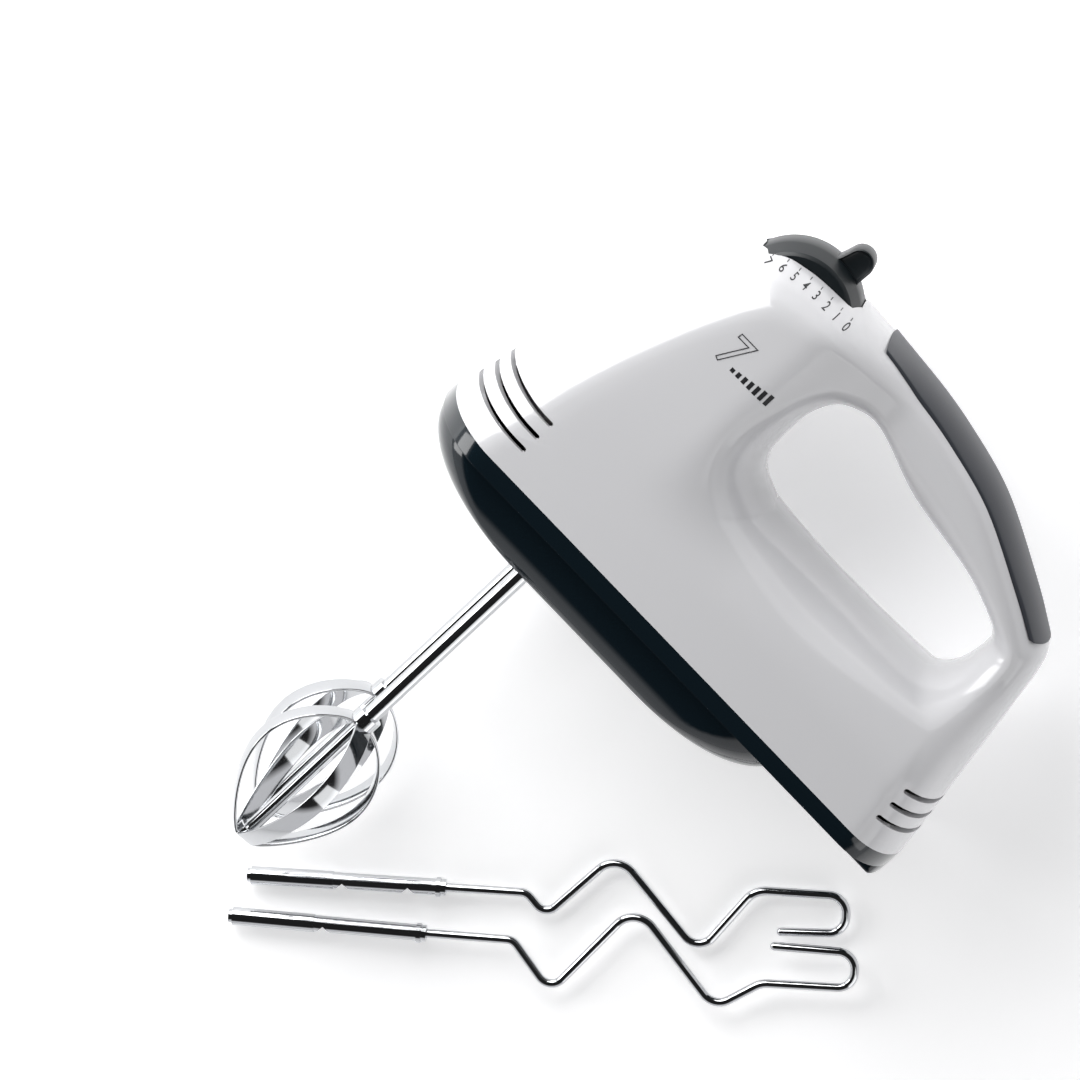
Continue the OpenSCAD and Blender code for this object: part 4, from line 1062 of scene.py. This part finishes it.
def wire_line(bends):
    p = [np.array(b[:2], float) for b in bends]
    line = [p[0]]
    for i in range(1, len(p) - 1):
        d0, d1 = unit(p[i] - p[i - 1]), unit(p[i + 1] - p[i])
        turn = math.acos(min(max(d0 @ d1, -1), 1))
        side = 1 if d0[0] * d1[1] - d0[1] * d1[0] > 0 else -1
        start = p[i] - d0 * bends[i][2] * math.tan(turn / 2)
        centre = start + side * bends[i][2] * np.array([-d0[1], d0[0]])
        count = math.ceil(turn / math.radians(5))
        for k in range(count + 1):
            q, arm = side * turn * k / count, start - centre
            line.append(centre + np.array([arm[0] * math.cos(q) - arm[1] * math.sin(q),
                                           arm[0] * math.sin(q) + arm[1] * math.cos(q)]))
    return line + [p[-1]]


# %% Both wires
def hook_wire(bends, at, turn, lift, name, body):
    """A wire lying on the table, turned and lifted as its shank is."""
    line = wire_line(bends)
    end_way = unit(line[-1] - line[-2])
    spine = [(p, 1.0) for p in line[:-1]]
    for q in np.radians([0, 30, 55, 75, 86]):
        spine.append((line[-1] + end_way * wire_r * (math.sin(q) - 1), math.cos(q)))
    rings = []
    for i, (p, size) in enumerate(spine):
        ahead = unit(spine[min(i + 1, len(line) - 1)][0] - spine[max(min(i, len(line) - 1) - 1, 0)][0])
        if i >= len(line) - 1:
            ahead = end_way
        ring = []
        for a in np.arange(20) * math.pi / 10:
            r = wire_r * size
            ring.append((p[0] - r * math.cos(a) * ahead[1], p[1] + r * math.cos(a) * ahead[0],
                         r * math.sin(a)))
        rings.append(ring)
    rings = np.array(rings)
    tilt, yaw = math.radians(lift), math.radians(turn)
    x = rings[..., 0] * math.cos(tilt) - rings[..., 2] * math.sin(tilt)
    z = rings[..., 0] * math.sin(tilt) + rings[..., 2] * math.cos(tilt)
    y = rings[..., 1]
    table = -origin[2] / MM + shank_r + 0.25
    rings = np.stack([at[0] + x * math.cos(yaw) - y * math.sin(yaw),
                      at[1] + x * math.sin(yaw) + y * math.cos(yaw), table + z], axis=-1)
    wire = loft(name, rings)
    node = "dough_hook_" + ("left" if "left" in body else "right") + "_wire"
    finish_piece(wire, name, body, finishes["chrome_steel"], [node], 45)


hook_wire(left_bends, (13.4, -165), 43.9, 0, "left_hook_wire", "left_dough_hook")
hook_wire(right_bends, (18.6, -178.2), 42.7, 1.35, "right_hook_wire", "right_dough_hook")

# %% [markdown]
# ## The table and the light
# Small appliances are shown on a white table under a large soft light from the nose side, with a weaker
# one opposite. Overhead is kept darker: chrome then shows a dark line down its middle, which tells the eye
# that it is metal.

# %% The table and the light
def floor():
    mesh = bpy.data.meshes.new("table_top")
    s = 4.0
    mesh.from_pydata([(-s, -s, 0), (s, -s, 0), (s, s, 0), (-s, s, 0)], [], [(0, 1, 2, 3)])
    made = bpy.data.objects.new("table_top", mesh)
    bpy.context.scene.collection.objects.link(made)
    table = plastic("table", (0.95, 0.95, 0.955), 0.6, bump=0.0, shade=1.0)
    lit = table.node_tree.nodes["Principled BSDF"].inputs
    lit["Emission Color"].default_value = (1, 1, 1, 1)
    lit["Emission Strength"].default_value = 0.36
    made.data.materials.append(table)
    made.location.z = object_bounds()[0].z - 0.0004


# %% Lights and surround
def soft_light(name, place_at, aim, size, power):
    data = bpy.data.lights.new(name, "AREA")
    data.shape = "RECTANGLE"
    data.size, data.size_y = size
    data.energy = power
    made = bpy.data.objects.new(name, data)
    made.location = place_at
    made.rotation_mode = "QUATERNION"
    made.rotation_quaternion = (Vector(aim) - Vector(place_at)).to_track_quat("-Z", "Y")
    bpy.context.scene.collection.objects.link(made)


def sky(level, overhead):
    """An even surround with a dark ceiling patch over the table."""
    world = bpy.data.worlds.new("studio")
    bpy.context.scene.world = world
    world.use_nodes = True
    tree = world.node_tree
    where = add(tree, "TexCoord")
    split = tree.nodes.new("ShaderNodeSeparateXYZ")
    tree.links.new(where.outputs["Generated"], split.inputs[0])
    ramp_node = tree.nodes.new("ShaderNodeValToRGB")
    stops = ramp_node.color_ramp.elements
    stops[0].position, stops[1].position = 0.5, 0.66
    for stop, value in ((stops[0], level), (stops[1], overhead)):
        stop.color = (value, value, value * 1.02, 1)
    tree.links.new(split.outputs["Z"], ramp_node.inputs[0])
    tree.links.new(ramp_node.outputs[0], tree.nodes["Background"].inputs["Color"])
    tree.nodes["Background"].inputs["Strength"].default_value = 1.0


floor()
sky(0.8, 0.02)
middle = origin + np.array([0.02, 0.0, 0.0])
soft_light("key", (-0.8, 0.3, 0.55), middle, (0.9, 0.8), 12)
soft_light("fill", (0.85, -0.1, 0.6), middle, (0.6, 0.9), 2.0)
soft_light("window", (-0.8, -0.45, 0.38), middle, (0.4, 0.5), 3)
print("lights placed")

# %% [markdown]
# ## The camera
# A long lens from nearly overhead, so the flank keeps its true outline. It is turned so that the mixer
# leans: its length runs down to the right at about 46 degrees.

# %% The camera
azimuth, elevation, roll = 193.5, 74.9, 46.05
distance, seen_width = 4.0, 0.322
aim = Vector(origin) + Vector((-0.0026, -0.0168, -0.0005))
a, e = math.radians(azimuth), math.radians(elevation)
back = Vector((math.sin(a) * math.cos(e), -math.cos(a) * math.cos(e), math.sin(e)))
flat_x = (Vector((1, 0, 0)) - back * back.x).normalized()
right = flat_x * math.cos(math.radians(roll)) + back.cross(flat_x) * math.sin(math.radians(roll))
up = back.cross(right)
lens = bpy.data.cameras.new("camera")
lens.lens = lens.sensor_width * distance / seen_width
camera = bpy.data.objects.new("camera", lens)
view = Matrix((right, up, back)).transposed().to_4x4()
camera.matrix_world = Matrix.Translation(aim + back * distance) @ view
bpy.context.scene.collection.objects.link(camera)
bpy.context.scene.camera = camera
bpy.context.scene.view_settings.view_transform = "Standard"
print(f"lens {lens.lens:.0f} mm at {distance} m")
